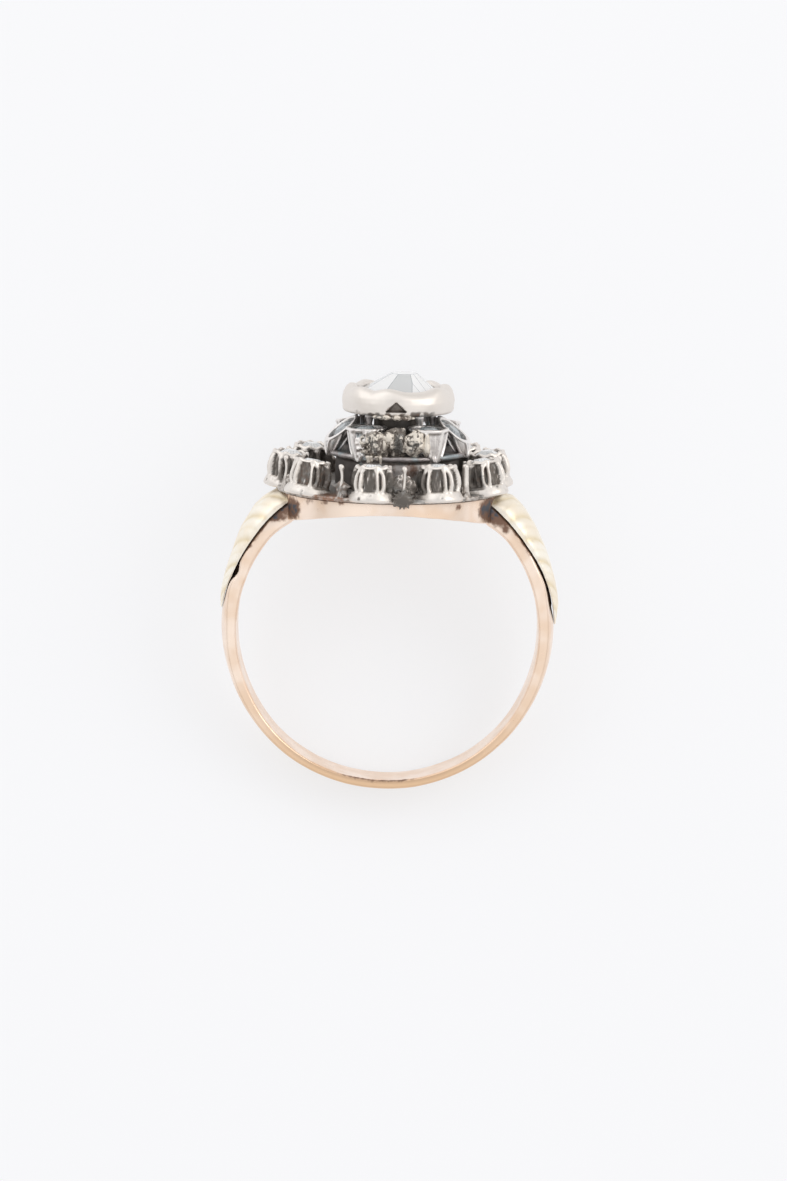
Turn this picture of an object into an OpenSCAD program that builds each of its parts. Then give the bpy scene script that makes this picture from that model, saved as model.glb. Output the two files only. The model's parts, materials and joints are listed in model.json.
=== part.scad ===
// Cluster ring: a rose gold finger band with its gallery plate, two carved yellow gold shoulder
// leaves, and three tiers of silver collets that hold old cut stones.
// The ring is drawn upright, its head towards +Z and its best side towards -Y. It is then laid
// on its side, where it rests on the band's edge and on the feet of its two rear collets.

/* [Finger band] */
// Radius of the finger hole round its lower part
finger_r = 8.5; // [8.4:0.05:8.6]
// How far the centre of the hole's upper arc is set down, which flattens the hole a little
finger_drop = 0.25; // [0.15:0.05:0.35]
// Outer radius of the band below the shoulders
band_r = 9.4; // [9.3:0.05:9.45]
// Outer radius of the band's arms, under the shoulder leaves
arm_r = 8.9; // [8.8:0.05:8.95]
// Height angle at which the band thins to an arm
arm_from = 2; // [1:0.5:3]
// Width of the band at the bottom
band_w = 2.7; // [2.4:0.1:3]
// Width of the band at the shoulders
shoulder_w = 4.4; // [4:0.1:4.6]
// Radius of the dome on the outside of the band
dome_r = 6; // [5:0.5:8]

/* [Gallery plate] */
// Radius of the plate that carries the cluster
plate_r = 6.1; // [5.9:0.1:6.2]
// Height of the plate's top above the centre of the finger hole
plate_top = 7.67; // [7.62:0.01:7.72]
// Height of the plate's arched underside at its middle
arch_top = 6.98; // [6.9:0.02:7.06]
// Radius of the arched underside
arch_r = 18.6; // [17:0.2:20]

/* [Shoulder leaves] */
// Height of the carved ripples along a leaf
ripple_h = 0.1; // [0:0.02:0.14]
// Depth of the grooves beside a leaf's midrib
groove_h = 0.16; // [0:0.02:0.2]

/* [Lower tier] */
// Distance from the head's axis to the axis of each lower collet
lower_out = 5.85; // [5.8:0.01:5.88]
// Height of a lower collet
collet_h = 2.05; // [2:0.05:2.15]
// Lean of the lower collets towards the head's axis, in degrees
lower_lean = 4; // [2:0.5:5]
// Radius of a collet's flared foot
foot_r = 1.33; // [1.28:0.01:1.35]
// Radius of a collet's waist, just above the foot
waist_r = 1.16; // [1.12:0.01:1.2]
// Radius of a collet's belly
belly_r = 1.25; // [1.22:0.01:1.28]
// Radius of a collet's rim
rim_r = 1; // [0.98:0.01:1.04]
// Radius of a collet's inner core, which shows in its windows
core_r = 0.98; // [0.95:0.01:1]
// Radius of the stones in the lower tier
lower_stone_r = 0.8; // [0.74:0.01:0.82]
// Outer radius of the flat ring that carries the lower collets
carrier_r = 6.45; // [6.3:0.05:6.6]
// Distance from the head's axis to each post between two collets
post_out = 6.15; // [6.05:0.05:6.25]
// Radius of a post
post_r = 0.16; // [0.14:0.01:0.18]

/* [Middle tier] */
// Distance from the head's axis to the middle of each cup's rim
cup_out = 3.12; // [3.08:0.01:3.14]
// Height of the middle of each cup's rim
cup_up = 11.48; // [11.42:0.02:11.52]
// Lean of the cups away from the head's axis, in degrees
cup_lean = 4; // [0:1:8]
// Radius of a cup's rim
cup_r = 1.17; // [1.12:0.01:1.18]
// Radius of the stones in the middle tier
middle_stone_r = 0.86; // [0.8:0.01:0.88]
// Radius of the drum that carries the cups
drum_r = 3.5; // [3.3:0.05:3.6]
// Radius of the flange on top of the drum
flange_r = 3.95; // [3.85:0.05:4]
// Height of the flange's top
flange_top = 9.98; // [9.94:0.02:10.02]

/* [Centre setting] */
// How far the middle and top tiers sit to the right of the head's axis
crown_shift = 0.38; // [0.2:0.02:0.5]
// Radius of the centre collet
centre_r = 3.2; // [3.1:0.05:3.3]
// Height of the centre collet's underside
centre_low = 12.1; // [12.05:0.05:12.2]
// Height of its rim
centre_rim = 13.45; // [13.4:0.05:13.55]
// Radius of the centre stone
centre_stone_r = 2.45; // [2.35:0.05:2.45]
// Height of the centre stone's table
centre_table = 14.27; // [14.1:0.05:14.4]

/* [Hidden] */

$fn = 64;
// Clearance between two pieces that touch on the real ring
gap = 0.03;
// Overrun of a cutting shape past what it cuts
over = 1;

ROSE_GOLD = [0.93, 0.80, 0.70];
YELLOW_GOLD = [0.96, 0.87, 0.62];
SILVER = [0.72, 0.71, 0.70];
DARK_SILVER = [0.40, 0.39, 0.39];
STONE = [0.86, 0.89, 0.92, 0.7];

// Turn of each lower collet round the head, from the best side towards the right.
// The set is handmade and uneven, and the two at the back lie evenly about 180.
COLLET_TURNS = [-50.5, -9.5, 28, 66, 104, 134, 163, 197, 232, 268];
// Turn of each collet on its own axis, from where it would face straight out
COLLET_SPINS = [30, -2, -34, -22, 0, 12, -8, 5, 20, 0];
// Turn of the post after each collet
POST_TURNS = [-26, 7.5, 43, 85, 119, 148, 180, 214, 250, 289];
// Turn of each cup of the middle tier, as uneven as the collets
CUP_TURNS = [-80, -34, 33, 78, 129, 180, 230];
// Turn of each pillar that carries the centre collet
PILLAR_TURNS = [-95, -53, 37, 75, 120, 165, 205, 235];

// Windows round a collet, from its outer side
TURN = 0;
WIDE = 1;
TALL = 2;
WINDOWS = [
    [0, 0.9, 1.05],
    [-32.5, 0.18, 0.95],
    [32.5, 0.18, 0.95],
    [-69, 0.78, 1],
    [69, 0.78, 1]
];
// Turns of a collet's claws from its outer side
CLAWS = [-31, 31, -150, 150];
claw_r = 0.16;
claw_out = 0.97;
foot_edge = 0.14;
foot_round = 0.1;
foot_h = 0.58;
belly_h = 0.95;
shoulder_r = 1.17;
shoulder_h = 1.5;
core_top_r = 0.9;
window_low = 0.62;
girdle_below_rim = 0.3;

// A stone's seat: its clearance round the girdle, how far it lies below the girdle's middle,
// and the depth and the small end of the cone under it as shares of the stone's radius
seat_slack = 0.04;
seat_below = 0.07;
seat_cone_h = 0.75;
seat_cone_end = 0.25;

// Cut of the stones: the table's share of the radius, the crown's height and the
// pavilion's share of the radius for a small one, and the same for the centre stone
girdle_h = 0.06;
small_table = 0.58;
small_crown = 0.32;
small_pavilion = 0.6;
culet_share = 0.12;
centre_table_share = 0.27;
centre_pavilion = 0.34;
centre_girdle_below_rim = 0.45;

// Thickness of the block that the gallery plate's arch is cut from
plate_block = 2;

// A post's ball, and the spread root at its foot
post_ball = 0.06;
post_root_r = 0.4;
post_root_h = 0.75;

// Turns of the claws and the pierced notches round the centre collet
CENTRE_CLAWS = [-52, -12, 55, 95, 135, 180, 225, 265];
CENTRE_NOTCHES = [
    [-2, 1.3, 0.6],
    [46, 0.5, 0.3],
    [90, 0.9, 0.5],
    [135, 0.7, 0.4],
    [180, 1.1, 0.5],
    [225, 0.6, 0.35],
    [272, 0.9, 0.5]
];
centre_claw_r = 0.34;
centre_claw_out = 2.92;
centre_claw_sweep = 16;
notch_depth = 0.6;
notch_low = 0.28;
neck_r = 1.35;
neck_sunk = 0.5;
pillar_r = 0.17;
pillar_out = 2;
pillar_sunk = 0.1;
centre_bowl_h = 0.85;
centre_bowl_end = 0.9;

// Parts of a cup: its rim band, its pointed outer foot and its inner foot
cup_band = 0.3;
cup_tip_out = 3.8;
cup_tip_r = 0.15;
cup_foot_out = 2.45;
cup_foot_r = 0.35;
cup_foot_h = 0.2;
cup_sunk = 0.02;
cup_hollow_h = 0.22;
CUP_SHIELD = [[0, -1.25], [0.36, -0.8], [0.5, -0.4], [0.42, -0.22], [-0.42, -0.22], [-0.5, -0.4], [-0.36, -0.8]];
flange_h = 0.28;
carrier_hole_r = 3;
carrier_h = 0.25;

// A shoulder leaf by height angle: inner radius, outer radius and half width.
ANGLE = 0;
INNER = 1;
OUTER = 2;
HALF = 3;
RIGHT_LEAF = [
    [-2, 9.43, 9.5, 0.35],
    [3, 9.43, 9.6, 0.75],
    [8, 9.3, 9.73, 1.1],
    [14, 9.16, 9.74, 1.45],
    [20, 9.09, 9.76, 1.75],
    [32, 9.0, 9.95, 2.25],
    [40, 9.08, 10.15, 2.4],
    [46.5, 9.14, 10.2, 2.3]
];
LEFT_LEAF = [
    [2, 9.43, 9.5, 0.35],
    [7, 9.38, 9.56, 0.8],
    [12, 9.33, 9.56, 1.15],
    [18, 9.1, 9.5, 1.5],
    [24, 9.06, 9.5, 1.9],
    [33, 8.98, 9.75, 2.25],
    [41, 9.06, 9.95, 2.4],
    [47, 9.12, 10.0, 2.3]
];
leaf_step = 1.5;
// Number of ripples along a leaf
leaf_ripples = 6;
// Points across a leaf's outer face, from one edge to the other
leaf_across = 13;

// Where the ring rests: the band's rear edge at the bottom, and the feet of the rear collets
band_edge_r = band_r - dome_r + sqrt(dome_r * dome_r - band_w * band_w / 4);
rear_turn = 180 - COLLET_TURNS[6];
lower_up = plate_top + gap;

function lift(lean, r, h) = -r * sin(lean) + h * cos(lean);
function reach(lean, r, h) = r * cos(lean) + h * sin(lean);
rest_foot_y = lower_out * cos(rear_turn) + reach(-lower_lean, foot_r, foot_edge);
rest_foot_z = lower_up + lift(-lower_lean, foot_r, foot_edge);
rest_slope = atan2(rest_foot_y - band_w / 2, rest_foot_z + band_edge_r);
rest_z = band_w / 2 * cos(rest_slope) + band_edge_r * sin(rest_slope);
head_y = centre_claw_out * sin(rest_slope) + centre_rim * cos(rest_slope) + centre_claw_r;
tail_y = -band_edge_r * cos(rest_slope) - band_w / 2 * sin(rest_slope);
rest_y = -(head_y + tail_y) / 2;

function column(rows, c) = [for (row = rows) [row[ANGLE], row[c]]];
function polar(angle, r, y) = [r * cos(angle), y, r * sin(angle)];

// Faces of a closed loft through rings of equal length, with flat ends
function loft_faces(rings, around) = concat(
    [[for (i = [0 : around - 1]) i]],
    [for (k = [0 : rings - 2], i = [0 : around - 1])
        let (j = (i + 1) % around)
        [k * around + i, (k + 1) * around + i, (k + 1) * around + j, k * around + j]],
    [[for (i = [around - 1 : -1 : 0]) (rings - 1) * around + i]]
);

// Lays the upright ring on its side
module laid() {
    translate([0, rest_y, rest_z]) rotate([rest_slope - 90, 0, 0]) children();
}

// Places a shape round the head: its own -Y then points outwards
module round_head(turn, out, up, lean) {
    rotate([0, 0, turn]) translate([0, -out, up]) rotate([lean, 0, 0]) children();
}

// Moves the two upper tiers to where they sit on the lower one
module crown() {
    translate([crown_shift, 0, 0]) children();
}

// A sector of the band, from one height angle to another, round the finger axis
module band_sector(from, sweep) {
    rotate([90, 0, 0]) rotate([0, 0, from]) rotate_extrude(angle = sweep) children();
}

module domed_section() {
    intersection() {
        translate([finger_r - 1, -shoulder_w / 2]) square([band_r - finger_r + 2, shoulder_w]);
        translate([band_r - dome_r, 0]) circle(r = dome_r);
    }
}

module arm_section() {
    translate([finger_r - 1, -shoulder_w / 2]) square([arm_r - finger_r + 1, shoulder_w]);
}

// Side outline of the band, narrow at the bottom and wide at the shoulders
module band_side() {
    rotate([90, 0, 90]) linear_extrude(height = 4 * band_r, center = true)
        polygon([
            [-band_w / 2, -band_r - over], [band_w / 2, -band_r - over],
            [band_w / 2, -band_r * 0.8], [shoulder_w / 2, finger_r * 0.7],
            [shoulder_w / 2, band_r], [-shoulder_w / 2, band_r],
            [-shoulder_w / 2, finger_r * 0.7], [-band_w / 2, -band_r * 0.8]
        ]);
}

module finger_hole() {
    intersection() {
        rotate([90, 0, 0]) cylinder(r = finger_r, h = 4 * plate_r, center = true);
        translate([0, 0, -finger_drop]) rotate([90, 0, 0])
            cylinder(r = finger_r, h = 4 * plate_r, center = true);
    }
}

module gallery_plate() {
    difference() {
        translate([0, 0, plate_top - plate_block]) cylinder(r = plate_r, h = plate_block);
        translate([0, 0, arch_top - arch_r]) rotate([90, 0, 0])
            cylinder(r = arch_r, h = 4 * plate_r, center = true, $fn = 180);
    }
}

module gold_shank() {
    arm_sweep = 56;
    color(ROSE_GOLD) laid() union() {
        difference() {
            intersection() {
                union() {
                    band_sector(-180 - arm_from, 180 + 2 * arm_from) domed_section();
                    band_sector(0, arm_sweep) arm_section();
                    band_sector(180 - arm_sweep, arm_sweep) arm_section();
                }
                band_side();
            }
            finger_hole();
        }
        gallery_plate();
    }
}

// Height of the carved face at a place across and along a leaf, from its edge, as a share
function leaf_dome(across) = sqrt(1 - 0.82 * across * across);
function leaf_groove(across) = groove_h * pow(sin(450 * across), 2) * (1 - abs(across));
function leaf_ripple(along, across) =
    ripple_h * (abs(sin(180 * leaf_ripples * along + 60 * abs(across))) - 1);

function leaf_ring(rows, angle) =
    let (
        inner = lookup(angle, column(rows, INNER)),
        outer = lookup(angle, column(rows, OUTER)),
        half = lookup(angle, column(rows, HALF)),
        first = rows[0][ANGLE],
        along = (angle - first) / (rows[len(rows) - 1][ANGLE] - first),
        carve = min(1, (outer - inner) / 0.6)
    )
    concat(
        [for (i = [0 : leaf_across - 1])
            let (
                across = 2 * i / (leaf_across - 1) - 1,
                relief = leaf_ripple(along, across) - leaf_groove(across),
                r = inner + (outer - inner) * leaf_dome(across) + carve * relief
            )
            polar(angle, max(r, inner + 0.04), half * across)],
        [polar(angle, inner, half), polar(angle, inner, -half)]
    );

module leaf(rows) {
    first = rows[0][ANGLE];
    last = rows[len(rows) - 1][ANGLE];
    steps = round((last - first) / leaf_step);
    angles = [for (k = [0 : steps]) first + (last - first) * k / steps];
    polyhedron(
        points = [for (angle = angles) each leaf_ring(rows, angle)],
        faces = loft_faces(len(angles), leaf_across + 2)
    );
}

module left_shoulder_leaf() {
    color(YELLOW_GOLD) laid() mirror([1, 0, 0]) leaf(LEFT_LEAF);
}

module right_shoulder_leaf() {
    color(YELLOW_GOLD) laid() leaf(RIGHT_LEAF);
}

// A window's cut, with an arched head, reaching outwards from the axis
module window_cut(window) {
    arch = window[WIDE] / 2;
    rotate([0, 0, window[TURN]]) union() {
        translate([-arch, -2 * belly_r, window_low])
            cube([window[WIDE], 2 * belly_r, window[TALL] - arch]);
        translate([0, 0, window_low + window[TALL] - arch]) rotate([90, 0, 0])
            cylinder(r = arch, h = 2 * belly_r);
    }
}

module stone_seat(r, rim) {
    low = rim - girdle_below_rim - seat_below;
    cone_h = seat_cone_h * r;
    translate([0, 0, low]) cylinder(r = r + seat_slack, h = over);
    translate([0, 0, low - cone_h])
        cylinder(r1 = seat_cone_end * r, r2 = r + seat_slack, h = cone_h + 0.001);
}

module lower_collet() {
    union() {
        difference() {
            rotate_extrude() polygon([
                [0, -0.1], [foot_r - foot_round, -0.1], [foot_r, foot_edge], [waist_r, foot_h],
                [belly_r, belly_h], [shoulder_r, shoulder_h], [rim_r, collet_h], [0, collet_h]
            ]);
            difference() {
                for (window = WINDOWS) window_cut(window);
                cylinder(r1 = core_r, r2 = core_top_r, h = collet_h);
            }
            stone_seat(lower_stone_r, collet_h);
        }
        for (turn = CLAWS) rotate([0, 0, turn])
            translate([0, -claw_out, collet_h - 0.08]) sphere(r = claw_r, $fn = 24);
    }
}

// A post with a ball top and a spread root
module post() {
    top = lower_up + collet_h - 0.3;
    translate([0, 0, lower_up]) cylinder(r = post_r, h = top - lower_up);
    translate([0, 0, lower_up]) cylinder(r1 = post_root_r, r2 = post_r * 0.9, h = post_root_h);
    translate([0, 0, top]) sphere(r = post_r + post_ball, $fn = 24);
}

module lower_tier() {
    color(SILVER) laid() difference() {
        union() {
            translate([0, 0, lower_up]) difference() {
                cylinder(r = carrier_r, h = carrier_h);
                translate([0, 0, -over]) cylinder(r = carrier_hole_r, h = 2 * over);
            }
            for (i = [0 : len(COLLET_TURNS) - 1])
                round_head(COLLET_TURNS[i], lower_out, lower_up, -lower_lean)
                    rotate([0, 0, COLLET_SPINS[i]]) lower_collet();
            for (turn = POST_TURNS) round_head(turn, post_out, 0, 0) post();
        }
        translate([0, 0, lower_up - over]) cylinder(r = 2 * lower_out, h = over);
    }
}

// A cut stone: a flat table, sixteen crown facets, a girdle and eight pavilion facets
module cut_stone(r, table_r, crown, pavilion) {
    sides = 8;
    step = 360 / sides;
    function ring(radius, z, turn) =
        [for (i = [0 : sides - 1]) [radius * cos(turn + i * step), radius * sin(turn + i * step), z]];
    polyhedron(
        points = concat(
            ring(table_r, girdle_h / 2 + crown, 0),
            ring(r, girdle_h / 2, step / 2),
            ring(r, -girdle_h / 2, step / 2),
            ring(culet_share * r, -girdle_h / 2 - pavilion, step / 2)
        ),
        faces = concat(
            [[for (i = [sides - 1 : -1 : 0]) i]],
            [for (i = [0 : sides - 1]) [i, (i + 1) % sides, sides + i]],
            [for (i = [0 : sides - 1]) [sides + i, (i + 1) % sides, sides + (i + 1) % sides]],
            [for (k = [1, 2], i = [0 : sides - 1])
                let (j = (i + 1) % sides)
                [k * sides + i, k * sides + j, (k + 1) * sides + j, (k + 1) * sides + i]],
            [[for (i = [0 : sides - 1]) 3 * sides + i]]
        )
    );
}

module lower_stone(i) {
    r = lower_stone_r;
    color(STONE) laid() round_head(COLLET_TURNS[i - 1], lower_out, lower_up, -lower_lean)
        translate([0, 0, collet_h - girdle_below_rim])
            cut_stone(r, small_table * r, small_crown, small_pavilion * r);
}

// The frame of a cup's rim: its own +Z is the cup's axis, and its own -Y points outwards
module cup_frame(turn) {
    round_head(turn, cup_out, cup_up, cup_lean) children();
}

// A cup's body, which tapers from its rim to a point at the outer side
module cup_body(turn) {
    low = flange_top - cup_sunk;
    hull() {
        cup_frame(turn) translate([0, 0, -cup_band]) cylinder(r = cup_r, h = cup_band, $fn = 32);
        round_head(turn, cup_tip_out, low + cup_tip_r, 0) sphere(r = cup_tip_r, $fn = 16);
        round_head(turn, cup_foot_out, low, 0) cylinder(r = cup_foot_r, h = cup_foot_h, $fn = 16);
    }
}

// The hollow in a cup's outer face, shaped like a shield
module cup_hollow() {
    difference() {
        rotate([90, 0, 0]) linear_extrude(height = 2 * cup_r) polygon(CUP_SHIELD);
        translate([0, 0, -2 * over]) cylinder(r = cup_r - cup_hollow_h, h = 3 * over);
    }
}

module middle_tier() {
    drum_low = lower_up + carrier_h + gap;
    color(DARK_SILVER) laid() crown() union() {
        difference() {
            union() {
                translate([0, 0, drum_low]) cylinder(r = drum_r, h = flange_top - flange_h / 2 - drum_low);
                translate([0, 0, flange_top - flange_h]) cylinder(r = flange_r, h = flange_h);
                for (turn = CUP_TURNS) cup_body(turn);
            }
            for (turn = CUP_TURNS) cup_frame(turn) cup_hollow();
            for (turn = CUP_TURNS) cup_frame(turn) stone_seat(middle_stone_r, 0);
            translate([0, 0, flange_top - neck_sunk]) cylinder(r = neck_r + gap, h = centre_low - flange_top);
        }
        for (turn = PILLAR_TURNS) round_head(turn, pillar_out, flange_top - pillar_sunk, 0)
            cylinder(r = pillar_r, h = centre_low - gap - flange_top + pillar_sunk);
    }
}

module middle_stone(i) {
    r = middle_stone_r;
    color(STONE) laid() crown() cup_frame(CUP_TURNS[i - 1])
        translate([0, 0, -girdle_below_rim])
            cut_stone(r, small_table * r, small_crown, small_pavilion * r);
}

module centre_notch(notch) {
    rotate([0, 0, notch[TURN]]) translate([0, notch_depth - centre_r, centre_low + notch_low])
        rotate([90, 0, 0]) linear_extrude(height = 2 * notch_depth)
            polygon([[-notch[WIDE] / 2, 0], [notch[WIDE] / 2, 0], [0, notch[TALL]]]);
}

// A claw of the centre collet, a short bead along its rim
module centre_claw(turn) {
    rotate([0, 0, turn - 90 - centre_claw_sweep / 2]) rotate_extrude(angle = centre_claw_sweep)
        translate([centre_claw_out, centre_rim + 0.02]) circle(r = centre_claw_r, $fn = 32);
}

module centre_setting() {
    seat = centre_rim - centre_girdle_below_rim - seat_below;
    neck_low = flange_top - neck_sunk + gap;
    color(SILVER) laid() crown() union() {
        difference() {
            union() {
                translate([0, 0, neck_low]) cylinder(r = neck_r, h = centre_low + 0.1 - neck_low);
                rotate_extrude() polygon([
                    [0, centre_low], [centre_r - 0.35, centre_low],
                    [centre_r - 0.06, centre_low + 0.2], [centre_r, centre_low + 0.6],
                    [centre_r - 0.1, centre_rim], [0, centre_rim]
                ]);
            }
            for (notch = CENTRE_NOTCHES) centre_notch(notch);
            translate([0, 0, seat]) cylinder(r = centre_stone_r + 0.05, h = over);
            translate([0, 0, seat - centre_bowl_h])
                cylinder(r1 = centre_bowl_end, r2 = centre_stone_r + 0.05, h = centre_bowl_h + 0.001);
        }
        for (turn = CENTRE_CLAWS) centre_claw(turn);
    }
}

module centre_stone() {
    r = centre_stone_r;
    girdle_z = centre_rim - centre_girdle_below_rim;
    color(STONE) laid() crown() translate([0, 0, girdle_z])
        cut_stone(r, centre_table_share * r, centre_table - girdle_z - girdle_h / 2, centre_pavilion * r);
}

gold_shank();
left_shoulder_leaf();
right_shoulder_leaf();
lower_tier();
middle_tier();
centre_setting();
centre_stone();
lower_stone(1);  // lower_stone_1
lower_stone(2);  // lower_stone_2
lower_stone(3);  // lower_stone_3
lower_stone(4);  // lower_stone_4
lower_stone(5);  // lower_stone_5
lower_stone(6);  // lower_stone_6
lower_stone(7);  // lower_stone_7
lower_stone(8);  // lower_stone_8
lower_stone(9);  // lower_stone_9
lower_stone(10);  // lower_stone_10
middle_stone(1);  // middle_stone_1
middle_stone(2);  // middle_stone_2
middle_stone(3);  // middle_stone_3
middle_stone(4);  // middle_stone_4
middle_stone(5);  // middle_stone_5
middle_stone(6);  // middle_stone_6
middle_stone(7);  // middle_stone_7
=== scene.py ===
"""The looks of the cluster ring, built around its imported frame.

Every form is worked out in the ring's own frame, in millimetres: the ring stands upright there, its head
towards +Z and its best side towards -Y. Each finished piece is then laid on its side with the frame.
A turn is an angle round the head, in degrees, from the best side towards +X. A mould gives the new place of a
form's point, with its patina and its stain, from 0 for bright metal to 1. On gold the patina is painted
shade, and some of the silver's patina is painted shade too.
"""

import json
import logging
import math
from collections.abc import Callable, Iterable, Sequence
from dataclasses import dataclass
from enum import Enum
from functools import partial
from typing import Any

import bmesh
import bpy
from mathutils import Matrix, Vector, noise


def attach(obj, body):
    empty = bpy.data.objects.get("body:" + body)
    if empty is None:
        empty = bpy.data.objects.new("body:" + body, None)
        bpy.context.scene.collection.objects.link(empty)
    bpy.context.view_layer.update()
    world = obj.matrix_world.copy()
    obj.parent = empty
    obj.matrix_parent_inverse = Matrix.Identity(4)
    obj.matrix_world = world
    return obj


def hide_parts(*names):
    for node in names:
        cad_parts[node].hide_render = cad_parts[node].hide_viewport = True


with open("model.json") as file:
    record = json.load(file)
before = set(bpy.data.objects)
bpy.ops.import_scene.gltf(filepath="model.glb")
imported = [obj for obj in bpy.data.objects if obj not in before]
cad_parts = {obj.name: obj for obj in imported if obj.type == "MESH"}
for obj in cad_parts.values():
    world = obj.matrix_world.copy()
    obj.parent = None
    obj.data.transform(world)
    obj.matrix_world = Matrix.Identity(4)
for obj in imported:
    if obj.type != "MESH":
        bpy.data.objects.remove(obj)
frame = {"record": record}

LOG = logging.getLogger("cluster_ring")
MM = 0.001
BODY = "root"
MOUNT = "finger_hole"
PATINA = "patina"
STAIN = "stain"
PAINTED_FACET_REFLECTION = "facet"
ATTRIBUTE = "ShaderNodeAttribute"
BUMP = "ShaderNodeBump"
COORDINATES = "ShaderNodeTexCoord"
CREVICE = "ShaderNodeAmbientOcclusion"
GLOSS = "ShaderNodeBsdfPrincipled"
MATHS = "ShaderNodeMath"
MIX = "ShaderNodeMix"
NOISE = "ShaderNodeTexNoise"
RANGE = "ShaderNodeMapRange"
SURFACE = "ShaderNodeOutputMaterial"
SMOOTH = {"interpolation_type": "SMOOTHSTEP"}
RGB = {"data_type": "RGBA"}
SCALE_AND_ADD = {"operation": "MULTIPLY_ADD"}

Form = bmesh.types.BMesh
Rows = Sequence[Sequence[float]]
Moulded = tuple[Vector, float, float]


class Slot(Enum):
    """The record's material slots."""

    ROSE_GOLD = "rose_gold"
    YELLOW_GOLD = "yellow_gold"
    SILVER = "silver"
    OXIDISED_SILVER = "oxidised_silver"
    DIAMOND = "diamond"


def clamp(value: float, low: float = 0.0, high: float = 1.0) -> float:
    """Returns value, held between low and high."""
    return min(high, max(low, value))


def ease(low: float, high: float, value: float) -> float:
    """Returns 0 before low and 1 after high, with a smooth rise between them."""
    t = clamp((value - low) / (high - low))
    return t * t * (3 - 2 * t)


def blend(first: float, second: float, share: float) -> float:
    """Returns the value that lies at a share of the way from first to second."""
    return first + (second - first) * share


def hill(value: float, middle: float, width: float) -> float:
    """Returns a smooth hill of height 1 at middle."""
    return math.exp(-(((value - middle) / width) ** 2))


def wrapped(degrees: float) -> float:
    """Returns an angle between -180 and 180 degrees."""
    return (degrees + 180) % 360 - 180


def turn_of(place: Vector) -> float:
    """Returns the turn of a place round its own +Z axis, in degrees."""
    return math.degrees(math.atan2(place.x, -place.y))


def round_axis(turn: float, out: float, up: float) -> Vector:
    """Returns the place at a turn in degrees, a distance out from the axis and a height."""
    angle = math.radians(turn)
    return Vector((out * math.sin(angle), -out * math.cos(angle), up))


def from_table(rows: Rows, value: float, column: int) -> float:
    """Reads a table by its first column, with straight lines between its rows.

    Args:
        rows: The table, in rising order of the first column.
        value: Where to read it.
        column: Which column to read.

    Returns:
        The value there, or the nearest row's beyond the table's ends.
    """
    if value <= rows[0][0]:
        return rows[0][column]
    for before, after in zip(rows, rows[1:]):
        if value <= after[0]:
            return blend(before[column], after[column], (value - before[0]) / (after[0] - before[0]))
    return rows[-1][column]


def grain(place: Vector, size: float, seed: float = 0.0) -> float:
    """Returns smooth noise from about -1 to 1, with lumps of that size in millimetres."""
    return noise.noise(place / size + Vector((seed, 2.3 * seed, -seed)))


def crater(place: Vector, size: float, seed: float) -> float:
    """Returns 1 at the middle of pits scattered at that spacing in millimetres, and 0 between them."""
    nearest = noise.voronoi(place / size + Vector((seed, -seed, 1.7 * seed)))[0][0]
    return ease(0.45, 0.12, nearest)


def around_head(turn: float, out: float, up: float, lean: float = 0.0) -> Matrix:
    """Returns the place of a form round the head, whose own -Y then points outwards.

    Args:
        turn: The turn round the head, in degrees.
        out: The distance from the head's axis.
        up: The height.
        lean: How far the form leans outwards, in degrees.

    Returns:
        The matrix from the form's own frame to the ring's.
    """
    place = Matrix.Translation((0, -out, up)) @ Matrix.Rotation(math.radians(lean), 4, "X")
    return Matrix.Rotation(math.radians(turn), 4, "Z") @ place


def laid_down(record: dict[str, Any]) -> Matrix:
    """Returns the matrix from the upright ring in millimetres to the row frame in metres.

    Args:
        record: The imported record, whose mount gives the middle of the finger hole and the way that the
            ring's best side faces.

    Returns:
        The matrix that lays the ring on its side.
    """
    mount = next(m for m in record["mounts"] if m["name"] == MOUNT)
    right = Vector((1, 0, 0))
    back = -Vector(mount["axis"]).normalized()
    turned = Matrix((right, back, right.cross(back))).transposed().to_4x4()
    return Matrix.Translation(mount["pos_m"]) @ turned @ Matrix.Scale(MM, 4)


RING = laid_down(frame["record"])


def linear(colour: str) -> tuple[float, float, float, float]:
    """Turns an sRGB colour to linear light.

    Args:
        colour: The colour in hex, such as #C0FFEE.

    Returns:
        Its red, green and blue in linear light, with full alpha.
    """
    parts = [int(colour[i : i + 2], 16) / 255 for i in (1, 3, 5)]
    light = [c / 12.92 if c <= 0.04045 else ((c + 0.055) / 1.055) ** 2.4 for c in parts]
    return (light[0], light[1], light[2], 1.0)


def per_mm(size: float) -> float:
    """Returns a texture's scale on coordinates in metres, for a pattern of that size in millimetres."""
    return 1 / (size * MM)


def add_node(
    tree: bpy.types.NodeTree,
    kind: str,
    settings: dict[str, Any] | None = None,
    inputs: dict[int | str, Any] | None = None,
) -> bpy.types.Node:
    """Adds a node to a tree.

    Args:
        tree: The node tree.
        kind: The node's type name.
        settings: Properties to set on the node.
        inputs: What each input holds: a node or a socket to link from, or a plain value.

    Returns:
        The new node.
    """
    made = tree.nodes.new(kind)
    for name, value in (settings or {}).items():
        setattr(made, name, value)
    for name, value in (inputs or {}).items():
        if isinstance(value, bpy.types.Node):
            # A mix gives its colour on its third output.
            value = value.outputs[2 if value.bl_idname == MIX else 0]
        if isinstance(value, bpy.types.NodeSocket):
            tree.links.new(value, made.inputs[name])
        else:
            made.inputs[name].default_value = value
    return made


def fresh_material(name: str) -> tuple[bpy.types.Material, Callable[..., bpy.types.Node]]:
    """Makes a new empty material.

    Args:
        name: The material's name.

    Returns:
        The material and what adds nodes to it.
    """
    material = bpy.data.materials.new(name)
    material.use_nodes = True
    material.node_tree.nodes.clear()
    return material, partial(add_node, material.node_tree)


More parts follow.
